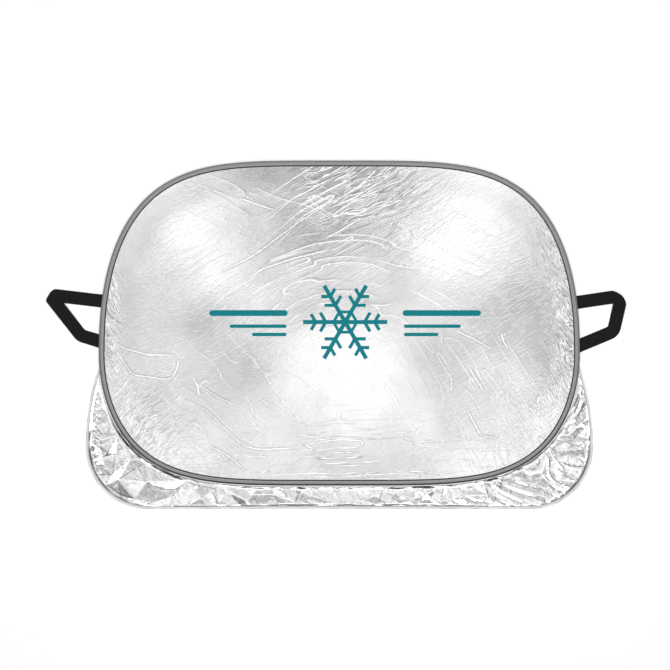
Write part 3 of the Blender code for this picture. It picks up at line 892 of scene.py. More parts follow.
def print_mask(finish, vector):
    """1 on the printed snowflake and bars and 0 elsewhere, from the distance to their outlines in metres.

    The snowflake is one twelfth of itself, mirrored: an arm along +X, two pairs of side twigs at 60
    degrees and a hexagon. A bar is a line of some length, thickened to its half height.
    """
    x, y, _ = finish.parts(vector)
    east, north = x - PRINT_CENTRE[0], y - PRINT_CENTRE[1]
    out = finish.math("SQRT", east * east + north * north)
    angle = finish.math("ARCTAN2", north, east)
    folded = finish.math("PINGPONG", angle, math.pi / 6)
    arm_x, arm_y = out * finish.math("COSINE", folded), out * finish.math("SINE", folded)
    marks = (arm_y - FLAKE_LINE).most(arm_x - FLAKE_RADIUS)
    for root, length in FLAKE_TWIGS:
        near = arm_x - root
        along = near * TWIG_COSINE + arm_y * TWIG_SINE
        off = abs(near * TWIG_SINE - arm_y * TWIG_COSINE)
        marks = marks.least((off - 0.8 * FLAKE_LINE).most(along - length))
    hexagon = abs(arm_x * TWIG_SINE + arm_y * TWIG_COSINE - 0.24 * FLAKE_RADIUS)
    marks = marks.least(hexagon - 0.7 * FLAKE_LINE)
    aside = abs(east)
    for level, start, end, half in PRINT_BARS:
        middle, reach = (start + end) / 2, (end - start) / 2
        past = (abs(aside - middle) - reach).most(0.0)
        off = north - level
        marks = marks.least(finish.math("SQRT", past * past + off * off) - half)
    return finish.held(0.5 - marks / PRINT_SOFTNESS)


def thin_lines(finish, name, widths):
    """Crisp creases and the painted shade beside them, 0 to 1, from stored distances and shares kept."""
    away, kept = (finish.parts(finish.attribute(f"{name}_{what}")) for what in ("away", "kept"))
    lines, painted_crease_shades = None, None
    for distance, share, width in zip(away, kept, widths):
        off = abs(distance) / width
        line = finish.held(1 - off) * share
        # Painted shade: a line just beside each crease.
        painted_crease_shade = finish.held(1 - abs(off - 1.9)) * share
        lines = line if lines is None else lines.most(line)
        painted_crease_shades = painted_crease_shade if painted_crease_shades is None else painted_crease_shades.most(painted_crease_shade)
    return lines, painted_crease_shades


def fine_ridges(finish, flat, turn, length, spacing, sharpness):
    """Thin ridges along a direction, where drawn-out noise is near its middle, and lines beside them for
    painted shade.
    """
    turned = finish.stretched(flat, (1.0, 1.0, 1.0), -turn)
    off = (finish.drawn(turned, (1 / length, 1 / spacing, 1.0), 1.0, 0.45) - 0.5) * sharpness
    return finish.held(1 - abs(off)), finish.held(1 - abs(off - 1.4))


def face_creases(finish, flat, x, y):
    """The face's crinkles and creases as heights, their whitening as wear and painted highlight, and painted
    shade beside them.

    Noise bends the place where the crinkles are read, so that they don't run straight.
    """
    top, sides, corner = finish.parts(finish.attribute("crinkled"))
    apart = finish.stretched(flat, (1.0, 1.0, 1.0), 1.3)
    bent_x = x + (finish.noise(flat, 9.0, 2.0, 0.5) - 0.5) * 0.055
    bent_y = y + (finish.noise(apart, 9.0, 2.0, 0.5) - 0.5) * 0.055
    bent = finish.node("ShaderNodeCombineXYZ", None, {0: bent_x, 1: bent_y})
    streaks, beside_streaks = fine_ridges(finish, bent, math.radians(24), 0.130, 0.0125, 21.0)
    oblique, beside_oblique = fine_ridges(finish, bent, math.radians(-56), 0.040, 0.0066, 14.0)
    strokes, beside_strokes = fine_ridges(finish, bent, math.radians(42), 0.045, 0.0095, 13.0)
    crinkle = (streaks * top).most(oblique * sides).most(strokes * corner)
    upper, beside_upper = thin_lines(finish, "first", (0.0019, 0.0018, 0.0016))
    lower, beside_lower = thin_lines(finish, "second", (0.0016, 0.0014, 0.0015))
    other, beside_other = thin_lines(finish, "third", (0.0017, 0.0016, 0.0022))
    # Whitening of the crease lines: partly wear, partly a painted highlight.
    worn = finish.held(upper * 0.9 + lower + other + crinkle * 0.25)
    # Painted shade: dark lines beside the crinkles and creases.
    painted_crease_shade = (beside_streaks * top * 0.75).most(beside_oblique * sides * 0.9)
    painted_crease_shade = painted_crease_shade.most(beside_strokes * corner * 0.7)
    painted_crease_shade = painted_crease_shade.most(beside_upper * 0.35).most(beside_lower * 0.45).most(beside_other * 0.45)
    return crinkle, upper.most(lower).most(other), worn, painted_crease_shade


def foil_finish(name, colours, printed, crumple, roughness):
    """Metallised film: mirror-like with a soft haze, fine crinkles, scuffs, creases whitened as wear and as
    painted highlight, and painted shade beside them.
    """
    finish = Finish(name, roughness, 0.95, specular_ior_level=0.15)
    place = finish.place()
    x, y, _ = finish.parts(place)
    flat = finish.node("ShaderNodeCombineXYZ", None, {0: x, 1: y})
    cloud = finish.noise(flat, 4.5, 3.0, 0.5)
    grain = finish.noise(flat, 300.0, 2.0, 0.6)
    scuff = finish.held((finish.noise(flat, 55.0, 4.0, 0.65) - 0.58) * 5)
    drawn = finish.drawn(flat, (14.0, 260.0, 1.0), turn=0.05)
    loose, _ = fine_ridges(finish, flat, 0.5, 0.045, 0.013, 18.0)
    normal = finish.bump(drawn, 0.00006 * crumple)
    normal = finish.bump(loose, 0.00010 * crumple, normal)
    normal = finish.bump(grain, 0.00007 * crumple, normal)
    if printed:
        crinkle, creases, worn, painted_crease_shade = face_creases(finish, flat, x, y)
        normal = finish.bump(crinkle, 0.00045, normal)
        normal = finish.bump(creases, 0.00050, normal)
    else:
        # The stored number is painted light: above zero it whitens a crease as wear and as a painted
        # highlight, below zero it paints shade.
        bend = finish.attribute("worn", "Fac")
        worn, painted_crease_shade = finish.held(bend), finish.held(bend * -1)
    dull = shade(colours.foil, 0.76 if printed else 0.92)
    foil = finish.blend(finish.held(cloud * 2.6 - 0.75), dull, opaque(colours.foil))
    # Painted shade: dark lines in the hollows beside the creases.
    foil = finish.blend(painted_crease_shade * 0.8, foil, (0.12, 0.12, 0.13, 1.0))
    # Whitened creases: partly wear of the film, partly a painted highlight.
    foil = finish.blend(worn * 0.7, foil, (0.97, 0.97, 0.97, 1.0))
    rough = roughness - 0.05 + cloud * 0.10 + scuff * 0.05 + worn * 0.12
    metal = 0.96 - worn * 0.55 - scuff * 0.04
    if printed:
        ink = print_mask(finish, place)
        mottle = finish.noise(flat, 900.0, 2.0, 0.5)
        inked = finish.blend(mottle, shade(colours.printed, 0.90), opaque(colours.printed))
        foil = finish.blend(ink, foil, inked)
        rough = rough * (1 - ink) + ink * 0.42
        metal = metal * (1 - ink)
    finish.set("Base Color", foil)
    finish.set("Roughness", finish.held(rough))
    finish.set("Metallic", finish.held(metal))
    finish.set("Normal", normal)
    return finish.material


def tape_finish(name, colour, roughness):
    """Woven polyester tape: fine cross ribs, painted shade along its edges and along a line down its middle,
    and a little dust.
    """
    finish = Finish(name, roughness, 0.0, specular_ior_level=0.15, sheen_weight=0.03)
    fabric = finish.fabric()
    along, across, _ = finish.parts(fabric)
    ribs, threads = finish.waves(along, 0.0009), finish.waves(across, 0.0006)
    patchy = finish.drawn(fabric, (30.0, 300.0, 1.0))
    fibres = finish.noise(fabric, 2500.0, 2.0, 0.6)
    tone = finish.held(patchy * 0.9 + fibres * 0.25 - 0.1)
    face = finish.blend(tone, shade(colour, 0.80), shade(colour, 1.16))
    # The stored mark is painted shade: dark lines at the tape's inner lip, its outer fold and down its
    # middle.
    finish.set("Base Color", finish.blend(finish.attribute("pressed", "Fac"), face, shade(colour, 0.10)))
    finish.set("Roughness", finish.held(roughness - 0.08 + patchy * 0.16))
    normal = finish.bump(ribs * threads, 0.00012)
    finish.set("Normal", finish.bump(fibres, 0.00003, normal))
    return finish.material


def webbing_finish(name, colour):
    """Black polypropylene webbing: ribs across its length, crossed by warp threads, with a dull sheen and a
    painted highlight along each edge.
    """
    finish = Finish(name, 0.62, 0.0, specular_ior_level=0.12, sheen_weight=0.03)
    fabric = finish.fabric()
    along, across, _ = finish.parts(fabric)
    row = finish.math("FLOOR", across / 0.0016)
    shifted = along + row * 0.0011
    ribs = finish.waves(shifted, 0.0022)
    warp = abs(finish.math("SINE", across * (math.pi / 0.0016)))
    patchy = finish.drawn(fabric, (25.0, 120.0, 1.0))
    fibres = finish.drawn(fabric, (900.0, 4000.0, 1.0), 2.0)
    # Painted highlight: a paler line along each edge of the webbing.
    painted_edge_highlight = finish.held((abs(across - WEBBING_WIDTH / 2) - 0.0165) * 600)
    tone = finish.held(patchy * 0.6 + ribs * warp * 0.35 + fibres * 0.2 - 0.2 + painted_edge_highlight * 0.5)
    finish.set("Base Color", finish.blend(tone, opaque(colour), shade(colour, 3.2)))
    finish.set("Roughness", finish.held(0.55 + patchy * 0.2))
    normal = finish.bump(ribs * warp, 0.00030)
    finish.set("Normal", finish.bump(fibres, 0.00005, normal))
    return finish.material


def hem_finish(name, colours):
    """Silver tape: a bright woven face, a grey stitch line along its inner side, and painted shadow in dashes
    along its outer edge.
    """
    finish = Finish(name, 0.45, 0.10, specular_ior_level=0.2, sheen_weight=0.1)
    fabric = finish.fabric()
    along, across, _ = finish.parts(fabric)
    patchy = finish.drawn(fabric, (40.0, 200.0, 1.0))
    ribs = finish.waves(along, 0.0010)
    dash = finish.held(finish.math("SINE", along * (2 * math.pi / 0.0042)) * 3 + 2.4)
    line = finish.held(1.3 - abs(across - 0.0062) / 0.0013)
    stitch = line * dash
    # Painted shadow: dark dashes along the outer edge, where the lifted hem would throw its shadow.
    uneven = finish.drawn(fabric, (16.0, 1.0, 1.0), 2.0, 0.5)
    edge = finish.held((0.0015 - across) / 0.0005) * finish.held((uneven - 0.48) * 12)
    face = finish.blend(patchy, shade(colours.hem, 0.82), opaque(colours.hem))
    face = finish.blend(stitch * 0.8, face, (0.12, 0.12, 0.13, 1.0))
    face = finish.blend(edge * 0.8, face, (0.16, 0.16, 0.17, 1.0))
    finish.set("Base Color", face)
    finish.set("Metallic", finish.held(0.12 - stitch * 0.1 - edge * 0.1))
    finish.set("Roughness", finish.held(0.28 + patchy * 0.14 + stitch * 0.3))
    finish.set("Normal", finish.bump(ribs * 0.3 - stitch + 1, 0.00010))
    return finish.material


def thread_finish(name, colour):
    """Twisted sewing thread."""
    finish = Finish(name, 0.6, 0.0, specular_ior_level=0.25)
    fibres = finish.noise(finish.place(), 3500.0, 2.0, 0.6)
    finish.set("Base Color", finish.blend(fibres, opaque(colour), shade(colour, 1.5)))
    finish.set("Roughness", finish.held(0.5 + fibres * 0.25))
    finish.set("Normal", finish.bump(fibres, 0.00005))
    return finish.material


def metal_finish(name, colour, roughness, drawn):
    """Bare or plated steel with drawing marks and faint stains."""
    finish = Finish(name, roughness, 1.0)
    place = finish.place()
    marks = finish.drawn(place, drawn)
    stains = finish.noise(place, 90.0, 4.0, 0.6)
    finish.set("Base Color", finish.blend(stains, shade(colour, 0.72), opaque(colour)))
    finish.set("Roughness", finish.held(roughness - 0.08 + marks * 0.2))
    finish.set("Normal", finish.bump(marks, 0.00002))
    return finish.material


def floor_finish():
    """A pale studio floor with a barely visible grain."""
    finish = Finish("studio_floor", 0.7, 0.0)
    grain = finish.noise(finish.place(), 3.0, 3.0, 0.5)
    finish.set("Base Color", finish.blend(grain, (0.955, 0.955, 0.955, 1.0), (0.97, 0.97, 0.97, 1.0)))
    return finish.material


# Pieces


def panel_surface(fineness):
    """Plan points, height of the sheet's middle and distance to the binding's lip, on a grid."""
    x, y = spread_over(panel_outline(SHEET_INSET), COARSE_COLUMNS * fineness, COARSE_ROWS * fineness)
    to_edge = distance_to_rim(x, y, SHEET_INSET)
    to_lip = np.maximum(0.0, to_edge - (BINDING_WIDTH + SHEET_THICKNESS - FOLD_RADIUS - TUNNEL_RADIUS))
    z = PANEL_PLANE + ripple(x, y) * smoothstep(to_lip / RIPPLE_FADE)
    return x, y, z, to_lip


def panel_layer(fineness, side, crease_height, tallest):
    """The face or the back of the laminate as a closed shell: its vertices, faces, plan, relief and creases.

    Side is 1 for the face and -1 for the back. The outside lies half the sheet's thickness from its middle,
    moved by the creases, and a coarser inside lies just off the middle.
    """
    x, y, z, to_lip = panel_surface(fineness)
    sets = crease_sets(x, y)
    height = foil_relief(x, y, to_lip, sets)
    lift = np.clip(crease_height * height, -CREASE_SINK, tallest)
    fine = np.dstack([x, y, z + side * SHEET_THICKNESS / 2 + lift])
    coarse_x, coarse_y, coarse_z, _ = panel_surface(1)
    coarse = np.dstack([coarse_x, coarse_y, coarse_z + side * LAYER_GAP])
    vertices, faces = shell(fine, coarse, fineness, fine_below=side < 0)
    return vertices, faces, (x, y), height, sets


class SNOWCOVER_OT_panel(bpy.types.Operator):
    """Makes the printed foil face of the panel, with its creases"""

    bl_idname = "snow_cover.panel"
    bl_label = "Panel foil"

    def execute(self, context):
        shapes, colours = context.scene.cover_shapes, context.scene.cover_colours
        vertices, faces, plan, height, sets = panel_layer(FACE_FINENESS, 1, shapes.crease_height, None)
        material = foil_finish("foil_face", colours, True, 1.0, 0.23)
        piece = add_piece("panel_foil", vertices, faces, material, ["panel_sheet"])
        hidden = np.zeros((len(vertices) - height.size, 3))
        for name, group in zip(("first", "second", "third"), sets):
            away = np.dstack([np.clip(distance, -0.02, 0.02) for distance, _ in group]).reshape(-1, 3)
            kept = np.dstack([kept for _, kept in group]).reshape(-1, 3)
            mark_with_vectors(piece.data, f"{name}_away", np.vstack([away, hidden]))
            mark_with_vectors(piece.data, f"{name}_kept", np.vstack([kept, hidden]))
        region = np.dstack(crinkled(*plan)).reshape(-1, 3)
        mark_with_vectors(piece.data, "crinkled", np.vstack([region, hidden]))
        return {"FINISHED"}


class SNOWCOVER_OT_backing(bpy.types.Operator):
    """Makes the plain back of the panel"""

    bl_idname = "snow_cover.backing"
    bl_label = "Panel back"

    def execute(self, context):
        shapes, colours = context.scene.cover_shapes, context.scene.cover_colours
        tallest = shapes.back_crease_height
        vertices, faces, _, height, _ = panel_layer(BACK_FINENESS, -1, tallest, CREASE_SINK)
        material = foil_finish("foil_back", colours, False, 1.4, 0.28)
        piece = add_piece("panel_backing", vertices, faces, material, ["panel_sheet"])
        # Painted shade: the back is darkened along its raised creases.
        worn = -0.4 * np.clip(height, 0.0, 1.0).ravel()
        mark_vertices(piece.data, "worn", np.pad(worn, (0, len(vertices) - worn.size)))
        return {"FINISHED"}


def skirt_frame(columns):
    """Seam and free edge of the skirt at equal steps, its width there, and the shares that are covered."""
    inner = resample(skirt_seam(), columns + 1)
    outer = resample(skirt_edge(), columns + 1)
    across = outer - inner
    width = np.linalg.norm(across, axis=1)
    covered = BINDING_WIDTH * width / np.abs(np.sum(across * inward_normals(inner), axis=1))
    return inner, outer, width, np.minimum(covered / np.maximum(width, 1e-6), 0.45)


def hem_height(along, hem_lift):
    """Height of the skirt's free edge over the floor, which touches it in many places."""
    wave = hills_along(along, 0.060, 301) + 0.5 * hills_along(along, 0.026, 302)
    return hem_lift * smoothstep(wave)


def skirt_relief(x, y, along, out, shapes):
    """Height of the folded and crumpled skirt, before it is flattened at the rim and at the hem.

    The left corner is broken into large flat facets. The right one is gathered into a fan of curved folds
    over slanted facets, and the strip between them has slanted facets with streaks. Smaller facets cover them
    all, and stand taller at the skirt's two ends.
    """
    left = smoothstep((-0.32 - x) / 0.08)
    right = smoothstep((x - 0.36) / 0.14)
    middle = 1 - left - right
    large = triangles(x, y, let_down(LEFT_FACETS))
    middle_corners = scattered_corners((-0.60, -0.12), (0.95, 0.36), (0.062, 0.024), -1.0, 203)
    slanted = triangles(x, y, let_down(middle_corners))
    streak = 0.5 + 0.5 * crinkles(x, y, straight_flow(math.radians(-33)), 0.020, 0.070, 206)
    fan = along / 0.046 - 0.5 * out - out * out + 1.5 * hills(along / 0.09, 1.4 * out, 204)
    share = fan - np.floor(fan)
    fold = np.minimum(share / 0.42, (1 - share) / 0.58)
    deep = 0.55 + 0.45 * hills(along / 0.06, 2.0 * out, 205)
    gathered = 0.42 * fold * deep + 0.45 * slanted
    folds = left * large + right * gathered + middle * (0.80 * slanted + 0.25 * streak)
    small = triangles(x, y, scattered_corners((-0.80, -0.12), (0.85, 0.40), (0.019, 0.013), -0.4, 207))
    tiny = crinkles(x, y, straight_flow(1.9), 0.0065, 0.009, 208)
    rough = 1 + 1.5 * smoothstep((np.abs(x) - 0.67) / 0.03)
    crumple = shapes.crumple_height * rough * (small + 0.20 * tiny)
    return shapes.fold_height * folds + crumple


class SNOWCOVER_OT_skirt(bpy.types.Operator):
    """Makes the crumpled foil skirt behind the lower half of the panel"""

    bl_idname = "snow_cover.skirt"
    bl_label = "Skirt"

    def execute(self, context):
        shapes, colours = context.scene.cover_shapes, context.scene.cover_colours
        inner, outer, width, covered = skirt_frame(SKIRT_COLUMNS)
        along = walked(outer)[:, None]
        share = np.linspace(0.0, 1.0, SKIRT_ROWS + 1)[None, :]
        places = inner[:, None, :] + (outer - inner)[:, None, :] * share[:, :, None]
        x, y = places[:, :, 0], places[:, :, 1]
        from_rim = (share - covered[:, None]) * width[:, None]
        from_hem = (1 - share) * width[:, None] - EDGE_TAPE_WIDTH
        relief = skirt_relief(x, y, along + 0 * x, share + 0 * x, shapes)
        rim_ramp = RIM_RAMP + RAMP_SWAY * hills_along(along, 0.034, 311)
        hem_ramp = HEM_RAMP + RAMP_SWAY * hills_along(along, 0.028, 312)
        free = smoothstep(from_rim / rim_ramp) * smoothstep(from_hem / hem_ramp)
        hem = hem_height(along, shapes.hem_lift) * smoothstep(from_rim / HEM_LIFT_RAMP)
        lower = np.maximum(relief * free, 0.0) + hem + FLOOR_GAP
        fine = np.dstack([x, y, lower + SKIRT_THICKNESS])
        coarse = np.dstack([x, y, lower])
        vertices, faces = shell(fine[:, ::-1], coarse[:, ::-1])
        material = foil_finish("foil_skirt", colours, False, 0.8, 0.17)
        piece = add_piece("skirt_foil", vertices, faces, material, ["skirt_sheet"], sharp=20)
        padded = np.pad(lower, 1, "edge")
        around = padded[2:, 1:-1] + padded[:-2, 1:-1] + padded[1:-1, 2:] + padded[1:-1, :-2]
        # Painted light: ridges of the crumpled skirt are whitened as wear and as a painted highlight, and its
        # valleys get painted shade.
        worn = np.clip((4 * lower - around) / 0.0006, -1.0, 0.8)[:, ::-1]
        mark_vertices(piece.data, "worn", np.concatenate([worn.ravel(), worn.ravel()]))
        return {"FINISHED"}


class SNOWCOVER_OT_hem(bpy.types.Operator):
    """Makes the silver tape on the skirt's free edge"""

    bl_idname = "snow_cover.hem"
    bl_label = "Hem tape"

    def execute(self, context):
        shapes, colours = context.scene.cover_shapes, context.scene.cover_colours
        edge = resample(skirt_edge(), SKIRT_COLUMNS + 1)
        inwards = inward_normals(edge)
        along = walked(edge)
        level = hem_height(along, shapes.hem_lift)[:, None] + FLOOR_GAP + SKIRT_THICKNESS
        across = np.linspace(0.0, EDGE_TAPE_WIDTH, 13)[None, :]
        crown = np.sin(math.pi * np.clip(across / EDGE_TAPE_WIDTH, 0, 1)) ** 0.5
        top = level + 0.00010 + EDGE_TAPE_THICKNESS * (0.75 + 0.25 * crown)
        x = edge[:, 0:1] + inwards[:, 0:1] * across
        y = edge[:, 1:2] + inwards[:, 1:2] * across
        fine = np.dstack([x, y, top])
        coarse = np.dstack([x, y, level + 0.00008 + 0 * x])
        vertices, faces = shell(fine, coarse)
        material = hem_finish("silver_hem_tape", colours)
        piece = add_piece("hem_tape", vertices, faces, material, ["skirt_edge_tape"])
        places = np.dstack([along[:, None] + 0 * x, across + 0 * x]).reshape(-1, 2)
        lay_out(piece.data, np.vstack([places, places]))
        return {"FINISHED"}


def binding_section():
    """Section of the folded tape, round from its lower lip: x is inwards from the hoop, y is up.

    The outside is a half circle at the fold and a gently crowned line to each lip, dented at the seam.
    """
    lip = BINDING_WIDTH - FOLD_RADIUS
    seam = lip - SEAM_INSET
    run = np.array([0.0006, 0.0012, 0.0026, 0.0040, 0.0051, 0.0062, 0.0073, 0.0088])
    run = np.concatenate([run, [lip - 0.0050, lip - 0.0040, lip - 0.0032, seam, lip - 0.0014, lip]])
    crown = FOLD_RADIUS + (LIP_HALF - FOLD_RADIUS) * run / lip + 0.00030 * np.sin(math.pi * run / lip)
    crown -= 0.00022 * np.exp(-(((run - seam) / 0.0012) ** 2))
    fold = np.linspace(-math.pi / 2, -3 * math.pi / 2, 13)
    outside = np.column_stack([FOLD_RADIUS * np.cos(fold), FOLD_RADIUS * np.sin(fold)])
    above = np.column_stack([run, crown])
    below = above[::-1] * (1, -1)
    mouth = math.asin(CHANNEL_HALF / TUNNEL_RADIUS)
    tunnel = np.linspace(mouth, 2 * math.pi - mouth, 9)
    corner = TUNNEL_RADIUS / math.cos((math.pi - mouth) / 8)
    inside = np.column_stack([corner * np.cos(tunnel), corner * np.sin(tunnel)])
    return np.vstack([below, outside, above, [(lip, CHANNEL_HALF)], inside, [(lip, -CHANNEL_HALF)]])


class SNOWCOVER_OT_binding(bpy.types.Operator):
    """Makes the grey tape folded round the panel's rim"""

    bl_idname = "snow_cover.binding"
    bl_label = "Edge binding"

    def execute(self, context):
        colours = context.scene.cover_colours
        path = panel_outline(FOLD_RADIUS, RIM_STEPS)
        inwards = inward_normals(path, closed=True)
        section = binding_section()
        x = path[:, 0:1] + inwards[:, 0:1] * section[:, 0]
        y = path[:, 1:2] + inwards[:, 1:2] * section[:, 0]
        z = PANEL_PLANE + 0 * x + section[:, 1]
        faces, along, across = ring_faces(RIM_STEPS, len(section))
        vertices = np.dstack([x, y, z]).reshape(-1, 3)
        material = tape_finish("grey_binding_tape", colours.binding, 0.6)
        piece = add_piece("rim_binding", vertices, faces.tolist(), material, ["edge_binding"])
        step = np.linalg.norm(path[1] - path[0])
        girth = walked(section)
        girth = np.append(girth, girth[-1] + TAPE_THICKNESS)
        places = np.dstack([along * step, girth[across]]).reshape(-1, 2)
        lay_out(piece.data, places, per_corner=True)
        run = section[:, 0]
        # Painted shade: a dark line at the inner lip, one along the outer fold and a fainter one down the
        # middle of the face.
        inner = smoothstep((run - (BINDING_WIDTH - FOLD_RADIUS - 0.0040)) / 0.0008)
        outer = smoothstep((0.0038 - run) / 0.0016)
        middle_line_shade = 0.22 * np.exp(-(((run - 0.0062) / 0.0011) ** 2))
        # Painted shadow: the outer fold is painted darker along the panel's lower rim than along its top.
        lower_rim_shadow = 0.45 + 0.50 * smoothstep(inwards[:, 1:2] + 0.3)
        pressed = np.maximum(np.maximum(inner, middle_line_shade), outer * lower_rim_shadow)
        mark_vertices(piece.data, "pressed", pressed.ravel())
        return {"FINISHED"}


def small_stitch(length, radius, rings=5, sides=6):
    """Vertices and faces of one stitch: a rod along +X with pointed ends that dive into the tape."""
    across = np.linspace(-1.0, 1.0, rings)
    swell = np.sqrt(np.maximum(1 - across**2, 0.04))
    turn = np.linspace(0.0, 2 * math.pi, sides, endpoint=False)
    x = length / 2 * across[:, None] + 0 * turn
    y = radius * swell[:, None] * np.cos(turn)
    z = radius * swell[:, None] * np.sin(turn) - 0.6 * radius * across[:, None] ** 2
    vertices = np.dstack([x, y, z]).reshape(-1, 3)
    i, j = np.meshgrid(np.arange(rings - 1), np.arange(sides), indexing="ij")
    first, second = i * sides + j, i * sides + (j + 1) % sides
    faces = np.dstack([first, second, second + sides, first + sides]).reshape(-1, 4)
    caps = np.vstack([np.arange(sides)[::-1], (rings - 1) * sides + np.arange(sides)])
    return vertices, faces, caps


def stitches_along(points, inwards, heights, length, radius, upside_down):
    """One stitch at each point, turned along the line, as one set of vertices and faces."""
    stitch, faces, caps = small_stitch(length, radius)
    flip = -1.0 if upside_down else 1.0
    along = np.column_stack([inwards[:, 1], -inwards[:, 0]])
    plan = stitch[None, :, 0:1] * along[:, None, :] + flip * stitch[None, :, 1:2] * inwards[:, None, :]
    x, y = points[:, None, 0] + plan[:, :, 0], points[:, None, 1] + plan[:, :, 1]
    z = heights[:, None] + flip * stitch[None, :, 2]
    start = np.arange(len(points))[:, None, None] * len(stitch)
    sides, ends = (start + faces).reshape(-1, 4), (start + caps).reshape(-1, caps.shape[1])
    return np.dstack([x, y, z]).reshape(-1, 3), sides[:, ::-1], ends[:, ::-1]


class SNOWCOVER_OT_seam(bpy.types.Operator):
    """Makes the stitches along the inner edge of the binding, on its face and its back"""

    bl_idname = "snow_cover.seam"
    bl_label = "Binding stitches"

    def execute(self, context):
        shapes, colours = context.scene.cover_shapes, context.scene.cover_colours
        line = panel_outline(BINDING_WIDTH - SEAM_INSET, STITCH_COUNT)
        inwards = inward_normals(line, closed=True)
        lip = BINDING_WIDTH - FOLD_RADIUS
        face = FOLD_RADIUS + (LIP_HALF - FOLD_RADIUS) * (lip - SEAM_INSET) / lip
        radius = THREAD_DIAMETER / 2
        vertices, sides, ends = [], [], []
        for sign in (1.0, -1.0):
            heights = np.full(STITCH_COUNT, PANEL_PLANE + sign * (face + 0.7 * radius))
            made = stitches_along(line, inwards, heights, shapes.stitch_length, radius, sign < 0)
            offset = sum(len(group) for group in vertices)
            vertices.append(made[0])
            sides.append(made[1] + offset)
            ends.append(made[2] + offset)
        faces = np.vstack(sides).tolist() + np.vstack(ends).tolist()
        material = thread_finish("grey_seam_thread", colours.thread)
        nodes = ["binding_seam_thread"]
        add_piece("seam_stitches", np.vstack(vertices), faces, material, nodes)
        return {"FINISHED"}


def unit(vector):
    """The vector at length one."""
    return vector / np.linalg.norm(vector)


def beside(direction):
    """The plan direction a quarter turn to the left."""
    return np.array([-direction[1], direction[0]])


def webbing_rows(tab, fold, knee, end, soft):
    """Edge points of a flat webbing loop, row by row.

    It runs from its upper tab to the fold, turns over on a diagonal crease there so that it comes back on
    top of itself, bends in its own plane at the knee, and ends at its lower tab. Soft gives the radius that
    rounds the corner at either end of the crease.
    """
    half = WEBBING_WIDTH / 2
    low = WEBBING_THICKNESS / 2
    roll = low + GAP / 2
    into, back, last = unit(fold - tab), unit(knee - fold), unit(end - knee)
    crease = unit(into + back)
    crease = crease if crease @ beside(into) > 0 else -crease
    steep = abs(into @ beside(crease))
    turning = WEBBING_WIDTH / steep
    rows = []

    def trim(from_fold, radius):
        """How far a row's end is drawn in, where a circle rounds the corner at the crease."""
        past = min(from_fold * steep / radius, 1.0)
        return radius * (1 - math.sqrt(1 - (1 - past) ** 2))

    def add(centre, height, cross, from_fold=1.0):
        near, far = (trim(from_fold, radius) * unit(cross) for radius in soft)
        rows.append([(*(centre - cross + near), height), (*(centre + cross - far), height)])

    def slanted(direction, from_fold):
        """Half of a row across the webbing: along the crease at the fold, and square past its turn."""
        near = float(smoothstep(1 - from_fold / turning))
        square = beside(direction)
        square = square if square @ crease > 0 else -square
        cross = unit(square * (1 - near) + crease * near)
        return cross * half / abs(cross @ beside(direction))

    length = np.linalg.norm(fold - tab)
    for from_fold in [*np.linspace(length, turning, 12)[:-1], *np.linspace(turning, 0, FOLD_ROWS)]:
        add(fold - from_fold * into, low, slanted(into, from_fold), from_fold)
    for angle in np.linspace(0, math.pi, 11)[1:]:
        rolled = fold + roll * math.sin(angle) * unit(into - back)
        add(rolled, low + roll * (1 - math.cos(angle)), slanted(into, 0.0), 0.0)

    opening = math.acos(float(-into @ back))
    covered = half / math.tan(opening / 2) + half / 4
    turn = math.atan2(back[0] * last[1] - back[1] * last[0], back @ last)
    bend = KNEE_INNER_RADIUS + half
    straight = np.linalg.norm(knee - fold) - bend * math.tan(abs(turn) / 2)
    for from_fold in [*np.linspace(0, turning, FOLD_ROWS)[1:], *np.linspace(turning, straight, 20)[1:]]:
        lifted = 1 - float(smoothstep((from_fold - covered) / (straight - covered)))
        add(fold + from_fold * back, low + 2 * roll * lifted, slanted(back, from_fold), from_fold)

    across = slanted(back, turning)
    inner = beside(back) * math.copysign(bend, turn)
    centre = fold + straight * back + inner
    for angle in np.linspace(0, turn, 16)[1:]:
        spin = np.array([[math.cos(angle), -math.sin(angle)], [math.sin(angle), math.cos(angle)]])
        add(centre - spin @ inner, low, spin @ across)
    start = centre - spin @ inner
    for share in np.linspace(0.0, 1.0, 12)[1:]:
        add(start + share * (end - start), low, spin @ across)
    return np.array(rows)


def webbing_shell(rows, columns=22):
    """A webbing loop's upper and lower surface, with its rounded selvedges, and its UV places.

    A point lies part of the way across its row, moved along the surface's normal by half the thickness
    times (1 - |share across|^8)^(1/2).
    """
    share = np.linspace(-1.0, 1.0, columns + 1)
    edge_share = np.sign(share) * np.abs(share) ** 0.8
    middle, half = rows.mean(axis=1), (rows[:, 1] - rows[:, 0]) / 2
    sheet = middle[:, None, :] + half[:, None, :] * edge_share[None, :, None]
    normal = np.cross(np.gradient(sheet, axis=0), np.gradient(sheet, axis=1))
    normal /= np.linalg.norm(normal, axis=2)[:, :, None]
    thick = WEBBING_THICKNESS / 2 * np.sqrt(np.maximum(1 - np.abs(edge_share) ** 8, 0.06))
    across = (edge_share + 1) / 2 * WEBBING_WIDTH
    places = np.dstack(np.broadcast_arrays(walked(middle)[:, None], across[None, :])).reshape(-1, 2)
    return sheet + normal * thick[None, :, None], sheet - normal * thick[None, :, None], places


